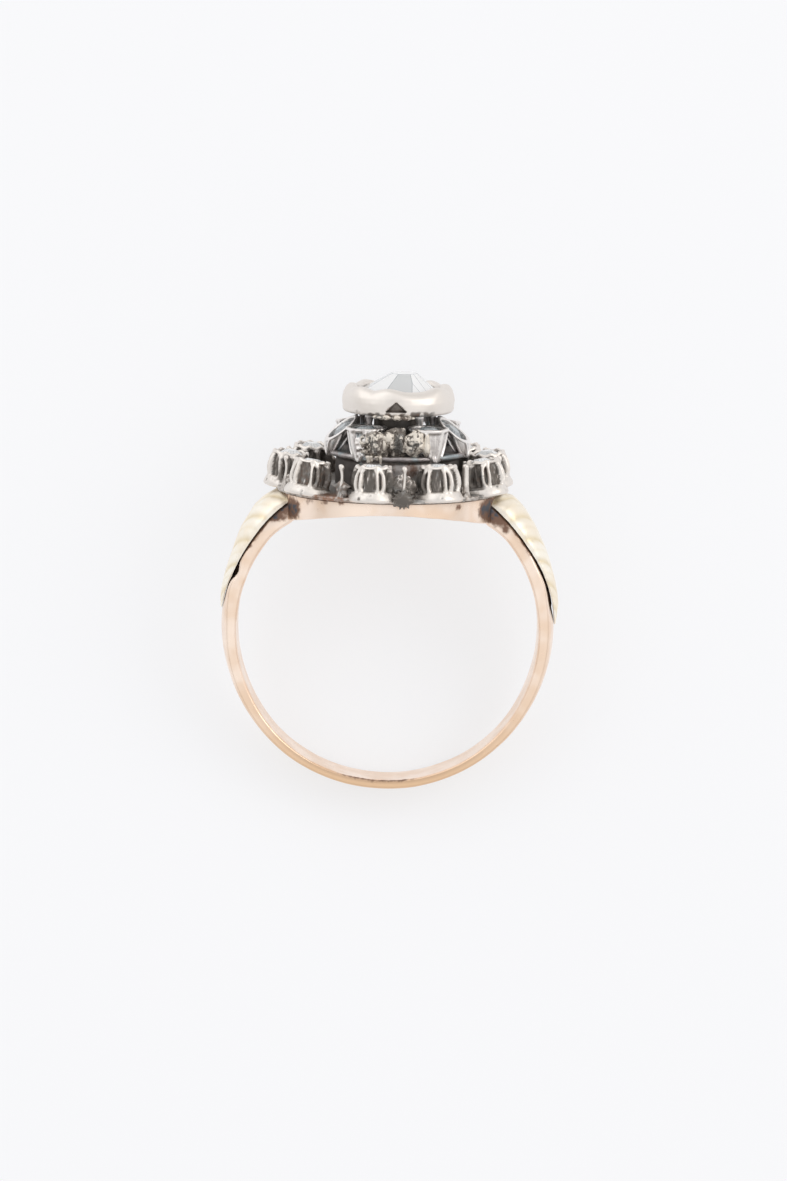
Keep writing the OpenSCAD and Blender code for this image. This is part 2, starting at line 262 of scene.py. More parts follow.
@dataclass(frozen=True)
class WornGold:
    """Old gold alloy, rolled or cast and then hand finished: a warm soft gloss under fine scratches.

    Its tarnish sits where the mesh is stained, and reads as a ragged brown skin with some blue grey in it. In
    crevices the same brown is partly dirt and partly painted shade. Where the mesh has patina, a deeper,
    warmer tone is painted
    in as painted shade: on the band's foot and in the leaves' carving.
    """

    name: str
    bright: str
    shade: str
    burnt: str
    painted_shade_tone: str
    roughness: float
    crevice_dirt_and_shade: float = 0.7
    oxide: str = "#5C6068"

    def material(self) -> bpy.types.Material:
        """Returns the gold's material."""
        material, add = fresh_material(self.name)
        places = add(COORDINATES).outputs["Object"]
        clouds = add(NOISE, None, {"Vector": places, "Scale": per_mm(1.6), "Detail": 2.0})
        mottle = add(NOISE, None, {"Vector": places, "Scale": per_mm(0.3), "Detail": 4.0})
        drawn = add("ShaderNodeMapping", None, {"Vector": places, "Scale": (1.0, 1.0, 5.0)})
        scratches = add(NOISE, None, {"Vector": drawn, "Scale": per_mm(0.5), "Detail": 6.0})
        shaded = add(RANGE, SMOOTH, {0: clouds, 1: 0.35, 2: 0.65})
        skin = add(MIX, RGB, {0: shaded, 6: linear(self.bright), 7: linear(self.shade)})
        # On gold the patina layer carries painted shade: the band's foot and the leaves' carving.
        rubbed = add(ATTRIBUTE, {"attribute_name": PATINA}).outputs["Fac"]
        worn = add(MIX, RGB, {0: rubbed, 6: skin, 7: linear(self.painted_shade_tone)})
        # Crevices darken towards the burnt brown: partly dirt, partly painted shade in the recesses.
        nook = add(CREVICE, {"samples": 6}, {"Distance": 0.5 * MM}).outputs["AO"]
        crease = add(RANGE, SMOOTH, {0: nook, 1: 0.9, 2: 0.3, 4: self.crevice_dirt_and_shade})
        dirt_and_crevice_shade = add(MIX, RGB, {0: crease, 6: worn, 7: linear(self.burnt)})
        painted = add(ATTRIBUTE, {"attribute_name": STAIN}).outputs["Fac"]
        ragged = add(MATHS, SCALE_AND_ADD, {0: mottle, 1: 1.3, 2: -0.65})
        edged = add(MATHS, SCALE_AND_ADD, {0: painted, 1: 1.5, 2: ragged})
        stained = add(RANGE, SMOOTH, {0: edged, 1: 0.4, 2: 1.1})
        blue = add(RANGE, SMOOTH, {0: edged, 1: 1.25, 2: 1.6})
        burn = add(MIX, RGB, {0: blue, 6: linear(self.burnt), 7: linear(self.oxide)})
        colour = add(MIX, RGB, {0: stained, 6: dirt_and_crevice_shade, 7: burn})
        scratched = add(MATHS, SCALE_AND_ADD, {0: scratches, 1: 0.16, 2: self.roughness - 0.08})
        rough = add(MATHS, SCALE_AND_ADD, {0: stained, 1: 0.3, 2: scratched})
        bump = add(BUMP, None, {"Strength": 0.12, "Distance": 0.02 * MM, "Height": scratches})
        gloss = {"Base Color": colour, "Metallic": 1.0, "Roughness": rough, "Normal": bump}
        add(SURFACE, None, {0: add(GLOSS, None, gloss)})
        return material


@dataclass(frozen=True)
class CastSilver:
    """Cast and hand-cut silver: bright where it is rubbed, and sulphide-dark where no cloth reaches.

    The tarnish runs from grey through brown to near black, and thin skins of it look blue.
    """

    name: str
    bright: str
    tarnish: str
    deep: str
    tint: str
    roughness: float
    tarnished: float = 0.0
    tinted: float = 0.25
    rust: str = "#9A7058"

    def material(self) -> bpy.types.Material:
        """Returns the silver's material, darkened by its painted patina and its crevices."""
        material, add = fresh_material(self.name)
        places = add(COORDINATES).outputs["Object"]
        clouds = add(NOISE, None, {"Vector": places, "Scale": per_mm(0.7), "Detail": 2.0})
        mottle = add(NOISE, None, {"Vector": places, "Scale": per_mm(0.2), "Detail": 3.0})
        nook = add(CREVICE, {"samples": 6}, {"Distance": 0.35 * MM}).outputs["AO"]
        crease = add(RANGE, SMOOTH, {0: nook, 1: 0.75, 2: 0.2, 4: 0.8})
        edge = add("ShaderNodeNewGeometry").outputs["Pointiness"]
        rubbed = add(RANGE, SMOOTH, {0: edge, 1: 0.5, 2: 0.56, 4: 0.35})
        painted = add(ATTRIBUTE, {"attribute_name": PATINA}).outputs["Fac"]
        covered = add(MATHS, {"operation": "MAXIMUM"}, {0: painted, 1: crease})
        ragged = add(MATHS, SCALE_AND_ADD, {0: mottle, 1: 0.6, 2: self.tarnished - 0.3})
        skin_deep = add(MATHS, {"operation": "ADD"}, {0: covered, 1: ragged})
        darkness = add(MATHS, {"operation": "SUBTRACT"}, {0: skin_deep, 1: rubbed})
        dull = add(RANGE, SMOOTH, {0: darkness, 1: 0.1, 2: 0.75})
        black = add(RANGE, SMOOTH, {0: darkness, 1: 0.55, 2: 1.2})
        grey = add(MIX, RGB, {0: dull, 6: linear(self.bright), 7: linear(self.tarnish)})
        dark = add(MIX, RGB, {0: black, 6: grey, 7: linear(self.deep)})
        patch = add(RANGE, SMOOTH, {0: clouds, 1: 0.48, 2: 0.62, 4: self.tinted})
        skinned = add(MATHS, {"operation": "SUBTRACT", "use_clamp": True}, {0: dull, 1: black})
        thin = add(MATHS, {"operation": "MULTIPLY"}, {0: patch, 1: skinned})
        blued = add(MIX, RGB, {0: thin, 6: dark, 7: linear(self.tint)})
        stain = add(ATTRIBUTE, {"attribute_name": STAIN}).outputs["Fac"]
        spotted = add(MATHS, {"operation": "MULTIPLY"}, {0: stain, 1: mottle})
        rusty = add(RANGE, SMOOTH, {0: spotted, 1: 0.15, 2: 0.6, 4: 0.8})
        colour = add(MIX, RGB, {0: rusty, 6: blued, 7: linear(self.rust)})
        rough = add(MATHS, SCALE_AND_ADD, {0: dull, 1: 0.12, 2: self.roughness})
        bump = add(BUMP, None, {"Strength": 0.2, "Distance": 0.02 * MM, "Height": mottle})
        gloss = {"Base Color": colour, "Metallic": 1.0, "Roughness": rough, "Normal": bump}
        add(SURFACE, None, {0: add(GLOSS, None, gloss)})
        return material


@dataclass(frozen=True)
class OldCutDiamond:
    """Diamond, ground by hand to flat facets: clear and colourless, with hard bright reflections.

    Each facet of an old cut shows another part of the stone's underside, so each gets a painted reflection: a
    grey of its own.
    """

    name: str
    body: str
    dim: str
    roughness: float
    clearness: float = 0.2

    def material(self) -> bpy.types.Material:
        """Returns the stone's material."""
        material, add = fresh_material(self.name)
        places = add(COORDINATES).outputs["Object"]
        clouds = add(NOISE, None, {"Vector": places, "Scale": per_mm(0.3), "Detail": 3.0})
        span = {0: clouds, 1: 0.3, 2: 0.8, 3: self.roughness, 4: self.roughness + 0.05}
        worn = add(RANGE, SMOOTH, span)
        # The facets' painted reflections.
        facet = add(ATTRIBUTE, {"attribute_name": PAINTED_FACET_REFLECTION}).outputs["Fac"]
        body = add(MIX, RGB, {0: facet, 6: linear(self.body), 7: linear(self.dim)})
        gloss = {"Base Color": body, "Roughness": worn, "IOR": 2.42, "Transmission Weight": self.clearness}
        add(SURFACE, None, {0: add(GLOSS, None, gloss)})
        return material


@dataclass(frozen=True)
class LightTable:
    """Opal glass over a lamp, as jewellery is photographed on: matt and nearly white, with weak shadows."""

    name: str
    body: str
    glow: float

    def material(self) -> bpy.types.Material:
        """Returns the floor's material."""
        material, add = fresh_material(self.name)
        gloss = {"Base Color": linear(self.body), "Roughness": 0.9, "Specular IOR Level": 0.2}
        gloss |= {"Emission Color": linear("#FFFFFF"), "Emission Strength": self.glow}
        add(SURFACE, None, {0: add(GLOSS, None, gloss)})
        return material


# The band's skin is pale and pinkish, and its foot gets a deeper, warmer tone as painted shade.
ROSE_GOLD = WornGold("worn_rose_gold", "#FDEADA", "#F3D9C2", "#8A6F60", "#E6C3A0", 0.3)
# The leaves' duller gloss keeps their carving readable at their edges, and the carving's valleys take the
# deeper tone as painted shade.
YELLOW_GOLD = WornGold("carved_yellow_gold", "#FFFAEF", "#FBF1E0", "#94805F", "#F1E3C6", 0.5, 0.4)
# Bright rims and ribs against grey windows, pitted grey solder, and a paler, bluer skin on the drum and cups.
SILVER = CastSilver("rubbed_cast_silver", "#EAE4DE", "#928B85", "#706B66", "#8F9EA5", 0.46)
SOLDER = CastSilver("old_pitted_solder", "#E9E2D8", "#857D76", "#55504A", "#8F9EA5", 0.6)
OXIDISED = CastSilver("oxidised_cast_silver", "#F1EDEA", "#B2ACAB", "#746E6B", "#9DBAC2", 0.38, 0.06, 0.5)
# The centre stone and the lower ones are clean, with painted reflections on their facets, and the cups'
# stones lie dull under grime.
DIAMOND = OldCutDiamond("old_cut_diamond", "#FFFFFF", "#A4ABAF", 0.02)
GRIMY_DIAMOND = OldCutDiamond("grimy_old_cut_diamond", "#A5ADB1", "#4F565A", 0.2)
OPAL = LightTable("opal_light_table", "#8E8F93", 0.652)


def spun(rows: Rows, steps: int, soft: int = 0, closed: bool = False) -> Form:
    """Spins a profile round +Z into a closed shell.

    Args:
        rows: Points of radius, height and the number of parts of the straight run that ends at the point.
        steps: How many steps the full turn takes.
        soft: How often the profile is rounded off by averaging its points with their neighbours.
        closed: Whether the profile is a loop, as of a ring. An open one starts and ends on the axis.

    Returns:
        A new form.
    """
    points = [rows[0][:2]]
    for before, after in zip(rows, rows[1:]):
        for share in (i / after[2] for i in range(1, after[2] + 1)):
            points.append([blend(a, b, share) for a, b in zip(before[:2], after[:2])])
    for _ in range(soft):
        threes = zip(points, points[1:], points[2:])
        inner = [[(a + 2 * b + c) / 4 for a, b, c in zip(*three)] for three in threes]
        points = [points[0], *inner, points[-1]]
    made = bmesh.new()
    corners = [made.verts.new((0, -radius, height)) for radius, height in points]
    lines = [made.edges.new(pair) for pair in zip(corners, corners[1:])]
    if closed:
        lines.append(made.edges.new((corners[-1], corners[0])))
    turn = {"cent": (0, 0, 0), "axis": (0, 0, 1), "angle": math.tau, "steps": steps, "use_merge": True}
    bmesh.ops.spin(made, geom=corners + lines, **turn)
    bmesh.ops.remove_doubles(made, verts=made.verts, dist=1e-5)
    bmesh.ops.recalc_face_normals(made, faces=made.faces)
    return made


def layer_of(form: Form, name: str) -> Any:
    """Returns the form's painted layer of that name, made if it is missing."""
    layers = form.verts.layers.float
    return layers.get(name) or layers.new(name)


def reshape(form: Form, mould: Callable[[Vector], Moulded]) -> Form:
    """Moves each point of a form and paints its patina and its stain.

    Args:
        form: The form to reshape.
        mould: Gives the new place, the patina and the stain of a point.

    Returns:
        The same form.
    """
    layer_of(form, PATINA)
    stain = layer_of(form, STAIN)
    # A new layer makes those before it invalid, so the first one is looked up again.
    patina = layer_of(form, PATINA)
    for point in form.verts:
        point.co, point[patina], point[stain] = mould(point.co.copy())
    return form


def paint(form: Form, name: str, spots: Iterable[Sequence[float]]) -> None:
    """Adds soft round spots to a painted layer.

    Args:
        form: The form to paint.
        name: The layer.
        spots: The three coordinates, the radius and the strength of each spot.
    """
    layer = layer_of(form, name)
    for *place, radius, strength in spots:
        middle = Vector(place)
        for point in form.verts:
            away = (point.co - middle).length
            if away < 2 * radius:
                point[layer] = clamp(point[layer] + strength * hill(away, 0, radius))


def merge(target: Form, form: Form, place: Matrix | None = None) -> None:
    """Adds a form to another one and frees it.

    Args:
        target: The form that grows.
        form: The form to add.
        place: Where to put it in the target's frame, if not where it is.
    """
    if place is not None:
        form.transform(place)
    carried = bpy.data.meshes.new("carried")
    form.to_mesh(carried)
    form.free()
    target.from_mesh(carried)
    bpy.data.meshes.remove(carried)


def lump(size: Vector, roughness: float, seed: float, detail: int, relief: float = 0.5) -> Form:
    """Makes a rough rounded lump of metal about the origin.

    Args:
        size: Its three radii.
        roughness: How far its skin rises and falls, as a share of its radius.
        seed: Which relief it gets.
        detail: How often the sphere it starts from is subdivided.
        relief: The size of that relief, in millimetres.

    Returns:
        A new form.
    """
    made = bmesh.new()
    bmesh.ops.create_icosphere(made, subdivisions=detail, radius=1)
    for point in made.verts:
        place = Vector(a * b for a, b in zip(point.co, size))
        point.co = place * (1 + roughness * grain(place, relief, seed))
    return made


def finish_piece(
    form: Form, name: str, material: bpy.types.Material, node: str, crease: float = 60
) -> None:
    """Lays a finished form down in the row frame as a piece of the ring, riding on its one body.

    Args:
        form: The form, in the ring's own frame. It is freed.
        name: The piece's name.
        material: Its material.
        node: The CAD node that it stands for, alone or with others.
        crease: The angle in degrees past which an edge is drawn sharp.
    """
    form.transform(RING)
    mesh = bpy.data.meshes.new(name)
    form.to_mesh(mesh)
    form.free()
    mesh.shade_smooth()
    mesh.set_sharp_from_angle(angle=math.radians(crease))
    mesh.materials.append(material)
    piece = bpy.data.objects.new(name, mesh)
    bpy.context.scene.collection.objects.link(piece)
    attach(piece, BODY)
    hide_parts(node)
    mesh.calc_loop_triangles()
    LOG.info("%s: %d triangles", name, len(mesh.loop_triangles))


def fused(*forms: Form) -> Form:
    """Joins two closed forms that meet into one skin, with nothing left inside.

    Args:
        forms: The two forms, which are freed.

    Returns:
        A new form.
    """
    parts = []
    for form in forms:
        mesh = bpy.data.meshes.new("part")
        form.to_mesh(mesh)
        form.free()
        part = bpy.data.objects.new("part", mesh)
        bpy.context.scene.collection.objects.link(part)
        parts.append(part)
    joined = parts[0].modifiers.new("joined", "BOOLEAN")
    joined.operation = "UNION"
    joined.solver = "EXACT"
    joined.object = parts[1]
    bpy.context.view_layer.update()
    seen = parts[0].evaluated_get(bpy.context.evaluated_depsgraph_get())
    made = bmesh.new()
    made.from_mesh(seen.to_mesh())
    seen.to_mesh_clear()
    for part in parts:
        mesh = part.data
        bpy.data.objects.remove(part)
        bpy.data.meshes.remove(mesh)
    return made


# Each row of a leaf: its height angle, the radii of its underside and its carved face, and its half width.
LEFT_LEAF = (
    (5, 9.42, 9.5, 0.3),
    (8.5, 9.38, 9.6, 0.75),
    (12, 9.35, 9.65, 1.15),
    (18, 9.24, 9.68, 1.5),
    (24, 9.2, 9.74, 1.9),
    (33, 9.16, 9.98, 2.25),
    (41, 9.18, 10.12, 2.4),
    (47, 9.16, 10.08, 2.3),
    (51, 9.12, 9.84, 2.2),
    (54, 9.12, 9.46, 2.15),
)
RIGHT_LEAF = (
    (1, 9.42, 9.52, 0.3),
    (4.5, 9.4, 9.62, 0.72),
    (8, 9.4, 9.75, 1.1),
    (14, 9.34, 9.8, 1.45),
    (20, 9.3, 9.84, 1.75),
    (32, 9.16, 10.02, 2.25),
    (40, 9.14, 10.18, 2.4),
    (46.5, 9.14, 10.2, 2.3),
    (50.5, 9.14, 9.88, 2.2),
    (54, 9.14, 9.46, 2.15),
)


@dataclass
class Shank:
    """The finger band with its gallery plate, soldered, one piece of rose gold."""

    finger_r: float = 8.5
    finger_drop: float = 0.25
    worn_side: float = 0.07
    worn_foot: float = 0.24
    band_r: float = 9.4
    arm_r: float = 8.9
    arm_from: float = 2.0
    arm_full: float = 11.0
    band_w: float = 2.7
    shoulder_w: float = 4.4
    dome_r: float = 6.0
    edge: float = 0.2
    plate_r: float = 6.1
    plate_low: float = 6.0
    plate_top: float = 7.67
    plate_edge: float = 0.09
    arch_top: float = 6.98
    arch_r: float = 18.6
    fillet: float = 0.9
    sunk: float = 0.08
    # A painted shade line along the inner front edge of the foot, as a row of soft spots.
    edge_shade_y: float = -1.32
    edge_shade_from: float = -4.4
    edge_shade_step: float = 0.22
    edge_shade_spots: int = 36
    edge_shade_spot_r: float = 0.14
    edge_shade_dark: float = 0.62
    # Solder burns: brown stains round the plate's ends, with painted shade where they lie under the lower
    # collets.
    burns_and_shade: Rows = (
        (-5.9, -2.4, 6.9, 0.8, 1.0),
        (-5.3, -3.2, 6.9, 0.55, 0.9),
        (-6.5, -2.2, 6.3, 0.4, 0.7),
        (-4.6, -4.2, 7.55, 0.4, 0.7),
        (-3.6, -5.0, 7.62, 0.35, 0.7),
        (-2.7, -5.5, 7.65, 0.3, 0.7),
        (5.3, -3.2, 7.0, 0.6, 1.0),
        (5.7, -2.4, 7.2, 0.6, 1.2),
        (6.0, -2.4, 6.5, 0.6, 0.9),
        (6.6, -2.2, 5.9, 0.45, 0.6),
        (3.8, -4.75, 7.4, 0.26, 0.9),
        (0.9, -6.1, 7.6, 0.3, 0.6),
        (-5.2, 3.4, 7.0, 1.0, 0.8),
        (5.2, 3.4, 7.0, 1.0, 0.8),
    )

    def arch_height(self, x: float) -> float:
        """Returns the height of the plate's arched underside."""
        return self.arch_top - self.arch_r + math.sqrt(self.arch_r**2 - x * x)

    def hole_reach(self, angle: float) -> float:
        """Works out the worn finger hole.

        Args:
            angle: The height angle in radians.

        Returns:
            How far the hole reaches from its middle there.
        """
        rise = math.sin(angle)
        if rise <= 0:
            worn = self.worn_side * ease(0.0, -0.3, rise) + self.worn_foot * ease(-0.2, -0.95, rise)
            return self.finger_r + worn
        drop = self.finger_drop
        return math.sqrt(self.finger_r**2 - (drop * math.cos(angle)) ** 2) - drop * rise

    def arch_reach(self, angle: float) -> float:
        """Works out the plate's arched underside.

        Args:
            angle: The height angle in radians.

        Returns:
            How far it lies from the hole's middle there.
        """
        centre = self.arch_top - self.arch_r
        along = centre * math.sin(angle)
        return along + math.sqrt(along * along - centre * centre + self.arch_r**2)

    def inner(self, angle: float) -> float:
        """Works out the band's inner face, filleted where it runs into the plate.

        Args:
            angle: The height angle in radians.

        Returns:
            The face's radius there.
        """
        hole, arch = self.hole_reach(angle), self.arch_reach(angle)
        inside = ease(0.62, 0.8, math.sin(angle)) * self.sunk
        near = clamp((self.fillet - abs(hole - arch)) / self.fillet)
        return min(hole, arch + inside) - near * near * self.fillet / 4

    def outer(self, angle: float) -> float:
        """Works out the band's outer face, which thins to an arm under each leaf.

        Args:
            angle: The height angle in radians.

        Returns:
            The face's radius there.
        """
        height = math.degrees(math.asin(math.sin(angle)))
        radius = blend(self.band_r, self.arm_r, ease(self.arm_from, self.arm_full, height))
        return min(radius, (self.plate_top - self.sunk) / max(math.sin(angle), 0.01))

    def bedding(self, angle: float, y: float, outer: float) -> float:
        """Returns how far the arm rises to bear a leaf, short of the leaf's edges.

        Args:
            angle: The height angle in radians.
            y: The place across the arm.
            outer: The radius of the arm's outer face.

        Returns:
            The rise in millimetres.
        """
        rows = RIGHT_LEAF if math.cos(angle) > 0 else LEFT_LEAF
        height = math.degrees(math.asin(math.sin(angle)))
        under = from_table(rows, height, 1) - 0.02
        edge = from_table(rows, height, 3) + 0.5 * ease(42, 47, height)
        filled = ease(edge - 0.2, edge - 0.35, abs(y)) * ease(rows[0][0] + 2, rows[0][0] + 8, height)
        front = 0.95 - 0.65 * hill(height, 20, 3.0)
        if rows is RIGHT_LEAF:
            front = blend(0.74, 0.97, ease(24, 30, height))
        return max(0.0, under - outer) * max(filled, front) * ease(60, 54, height)

    def width(self, height: float) -> float:
        """Returns the band's width at a height."""
        share = clamp((height + 0.8 * self.band_r) / (0.8 * self.band_r + 0.7 * self.finger_r))
        return blend(self.band_w, self.shoulder_w, share)

    def band(self) -> Form:
        """Returns the band as a closed hoop with rounded edges, with painted shade on its foot."""
        half, thick = self.band_w / 2, self.band_r - self.finger_r
        middle = self.finger_r + thick / 2
        across = [i / 4 - 1 for i in range(9)]
        loop = [(self.finger_r, half * share, 1) for share in across] + [(middle, half, 1)]
        loop += [(self.band_r, -half * share, 1) for share in across] + [(middle, -half, 1)]
        made = spun(loop, 300, closed=True)
        corners = []
        for line in made.edges:
            first, last = (point.co for point in line.verts)
            on_side = abs(abs(first.z) - half) < 1e-4 and abs(abs(last.z) - half) < 1e-4
            level = abs(first.xy.length - last.xy.length) < 1e-3
            if on_side and level and abs(first.xy.length - middle) > thick / 4:
                corners.append(line)
        cut = {"offset_type": "OFFSET", "segments": 4, "profile": 0.5, "affect": "EDGES", "material": -1}
        bmesh.ops.bevel(made, geom=corners, offset=self.edge, clamp_overlap=False, **cut)
        upright = Matrix.Rotation(math.pi / 2, 3, "X")
        bmesh.ops.rotate(made, verts=made.verts, cent=(0, 0, 0), matrix=upright)

        def mould(place: Vector) -> Moulded:
            """Bends the hoop's section to the band's two faces.

            Args:
                place: A point's place.

            Returns:
                The point's new place, its painted shade and its stain.
            """
            angle = math.atan2(place.z, place.x)
            through = (math.hypot(place.x, place.z) - self.finger_r) / thick
            inner, outer = self.inner(angle), self.outer(angle)
            y = place.y / half * self.width(outer * math.sin(angle)) / 2
            outer += self.bedding(angle, y, outer)
            drop = self.dome_r - math.sqrt(self.dome_r**2 - min(y * y, 4.0))
            drop *= clamp((outer - inner) / thick) * clamp(1 - ease(0.0, 0.3, math.sin(angle)))
            radius = inner + through * (outer - drop - inner)
            radius += 0.018 * grain(place, 2.2, 3.0) + 0.006 * grain(place, 0.6, 9.0)
            y += 0.03 * grain(place, 3.1, 5.0)
            # Painted shade: the foot's outer faces take the deeper, warmer tone, more of it towards the
            # bottom.
            worn = ease(0.0, 0.2, through) * ease(-2.0, -9.0, place.z)
            return Vector((radius * math.cos(angle), y, radius * math.sin(angle))), worn, 0.0

        reshape(made, mould)
        bmesh.ops.recalc_face_normals(made, faces=made.faces)
        return made

    def plate(self) -> Form:
        """Returns the gallery plate: a disc with an arched underside."""
        low, top, rim, edge = self.plate_low, self.plate_top, self.plate_r, self.plate_edge
        rows = [(0, low, 1), (rim - edge, low, 26), (rim, low + edge, 2)]
        rows += [(rim, top - edge, 8), (rim - edge, top, 2), (0, top, 5)]

        def mould(place: Vector) -> Moulded:
            """Lifts the disc's underside to the arch.

            Args:
                place: A point's place.

            Returns:
                The point's new place, its patina and its stain.
            """
            share = (place.z - low) / (top - low)
            base = self.arch_height(place.x)
            out = 1 + 0.004 * grain(place, 1.5, 7.0)
            z = base + share * (top - base) + 0.02 * grain(place, 0.9, 4.0) * (1 - share)
            return Vector((place.x * out, place.y * out, z)), 0.0, 0.0

        return reshape(spun(rows, 200), mould)

    def build(self) -> None:
        """Builds the shank, stained round the plate's ends by solder and by painted shade, with painted shade
        in its foot and under the leaves.
        """
        made = fused(self.band(), self.plate())
        foot_r = self.finger_r + self.worn_side + self.worn_foot
        # Painted shade along the foot's inner front edge.
        edge_shade = []
        for x in (self.edge_shade_step * step + self.edge_shade_from for step in range(self.edge_shade_spots)):
            strength = self.edge_shade_dark * ease(3.9, 1.2, abs(x + 0.5))
            edge_shade.append((x, self.edge_shade_y, -math.sqrt(foot_r**2 - x * x), self.edge_shade_spot_r, strength))
        paint(made, STAIN, [*self.burns_and_shade, *edge_shade])
        patina, stain = layer_of(made, PATINA), layer_of(made, STAIN)
        for point in made.verts:
            x, y, z = point.co
            if z > 0:
                point[patina] = 0.0
            height = math.degrees(math.atan2(z, abs(x)))
            rows = RIGHT_LEAF if x > 0 else LEFT_LEAF
            under = from_table(rows, height, 1)
            # Painted shade: the arm's face just under each leaf, in the slot between them, is stained dark.
            if rows[0][0] + 3 < height < 53 and abs(y) < from_table(rows, height, 3):
                grimy = 0.6 * ease(under - 0.28, under - 0.16, math.hypot(x, z))
                point[stain] = max(point[stain], grimy)
        finish_piece(made, "rose_gold_shank", ROSE_GOLD.material(), "gold_shank", crease=40)


@dataclass
class ShoulderLeaf:
    """A carved yellow gold leaf over one shoulder of the band."""

    node: str
    side: int
    rows: Rows
    lobes: float
    seed: float
    relief: float = 0.08
    across: int = 28
    steps: int = 110

    def build(self, material: bpy.types.Material) -> None:
        """Builds the leaf: its section is swept along the shoulder and then carved.

        Args:
            material: The leaf's gold.
        """
        first, last, under = self.rows[0][0], self.rows[-1][0], self.rows[0][1]
        made = bmesh.new()
        loop = [(2 * i / self.across - 1, 1.0) for i in range(self.across + 1)]
        loop += [(1.0, 1 - i / 5) for i in range(1, 5)]
        loop += [(1 - 2 * i / 8, 0.0) for i in range(9)]
        loop += [(-1.0, i / 5) for i in range(1, 5)]
        corners = [made.verts.new((under + depth, share, 0)) for share, depth in loop]
        lines = [made.edges.new(pair) for pair in zip(corners, corners[1:] + corners[:1])]
        sweep = {"cent": (0, 0, 0), "axis": (0, -1, 0), "angle": math.radians(last - first)}
        bmesh.ops.spin(made, geom=corners + lines, steps=self.steps, **sweep)
        bmesh.ops.holes_fill(made, edges=[line for line in made.edges if line.is_boundary], sides=0)

        def mould(place: Vector) -> Moulded:
            """Carves the swept section.

            Args:
                place: A point's place.

            Returns:
                The point's new place, its painted shade and its stain.
            """
            angle = first + math.degrees(math.atan2(place.z, place.x))
            depth = clamp(math.hypot(place.x, place.z) - under)
            return self.carved(angle, depth, place.y, (angle - first) / (last - first))

        reshape(made, mould)
        if self.side < 0:
            bmesh.ops.mirror(made, geom=made.verts[:] + made.edges[:] + made.faces[:], axis="X")
            kept = [face for face in made.faces if face.calc_center_median().x > 0]
            bmesh.ops.delete(made, geom=kept, context="FACES")
        bmesh.ops.recalc_face_normals(made, faces=made.faces)
        finish_piece(made, f"carved_{self.node}", material, self.node, crease=45)

    def carved(self, angle: float, depth: float, share: float, along: float) -> Moulded:
        """Works out the carved relief.

        Args:
            angle: The height angle in degrees.
            depth: 0 on the underside and 1 on the carved face.
            share: The place across the leaf, from -1 to 1.
            along: The place along it, from 0 at its tip to 1.

        Returns:
            The point's place, its painted shade and its stain.
        """
        inner, outer, half = (from_table(self.rows, angle, column) for column in (1, 2, 3))
        thick = outer - inner
        side = abs(share)
        phase = math.pi * (self.lobes * along - 0.75 * side)
        lobe = abs(math.sin(phase))
        valley = 1 - ease(0.0, 0.7, lobe)
        half *= 1 - 0.025 * valley * ease(0.05, 0.2, along)
        dome = math.sqrt(1 - 0.92 * side**2.6)
        midrib = hill(side, 0.0, 0.09)
        groove = hill(side, 0.17, 0.07)
        vein = hill(math.sin(2 * phase), 0.0, 0.25) * ease(0.1, 0.35, side)
        face = self.relief * (0.55 * lobe - 0.55 * valley) * ease(0.08, 0.3, side)
        face *= 1 - 0.6 * ease(0.75, 1.0, side)
        face += 0.04 * midrib - 0.06 * groove - 0.015 * vein
        radius = inner + depth * (thick * dome + clamp(thick / 0.5) * (face - 0.06))
        radius = max(radius, inner + 0.03 * depth)
        radius += 0.012 * grain(Vector((angle, 3 * share, depth)), 1.2, self.seed)
        y = half * share + 0.02 * grain(Vector((angle, share, depth)), 2.0, self.seed + 4)
        at = math.radians(angle)
        # Painted shade: the carving's valleys, its groove and its veins take the deeper tone, most on the
        # carved face.
        dark = clamp(0.8 * valley * ease(0.1, 0.3, side) + 0.7 * groove + 0.4 * vein) * depth
        return Vector((radius * math.cos(at), y, radius * math.sin(at))), dark, 0.0


@dataclass(frozen=True)
class Ridge:
    """A raised rib on a collet's wall: its turns at some heights, and half its width in degrees."""

    path: Rows
    half: float

    def height(self, turn: float, share: float, flare: float) -> float:
        """Returns how high the rib stands at a place on the wall.

        Args:
            turn: The turn round the collet, in degrees.
            share: The height, from 0 at the skirt to 1 at the rim.
            flare: How many times its own width the rib has there.

        Returns:
            The height of the rib's rounded section, from 0 beside it to 1 on its crest.
        """
        middle = from_table(self.path, share, 1)
        aside = min(abs(wrapped(turn - middle)), abs(wrapped(turn + middle))) / (self.half * flare)
        return math.sqrt(1 - aside * aside) if aside < 1 else 0.0


@dataclass(frozen=True)
class Seat:
    """The place of one lower collet: its turn round the head, its spin, its stain and its lean."""

    turn: float
    spin: float
    stain: float = 0.0
    lean: float = -5.0


@dataclass(frozen=True)
class Post:
    """The place and make of one post between two collets."""

    turn: float
    neck: float = 0.09
    ball: float = 0.15
    mound: float = 0.5
    stain: float = 0.4


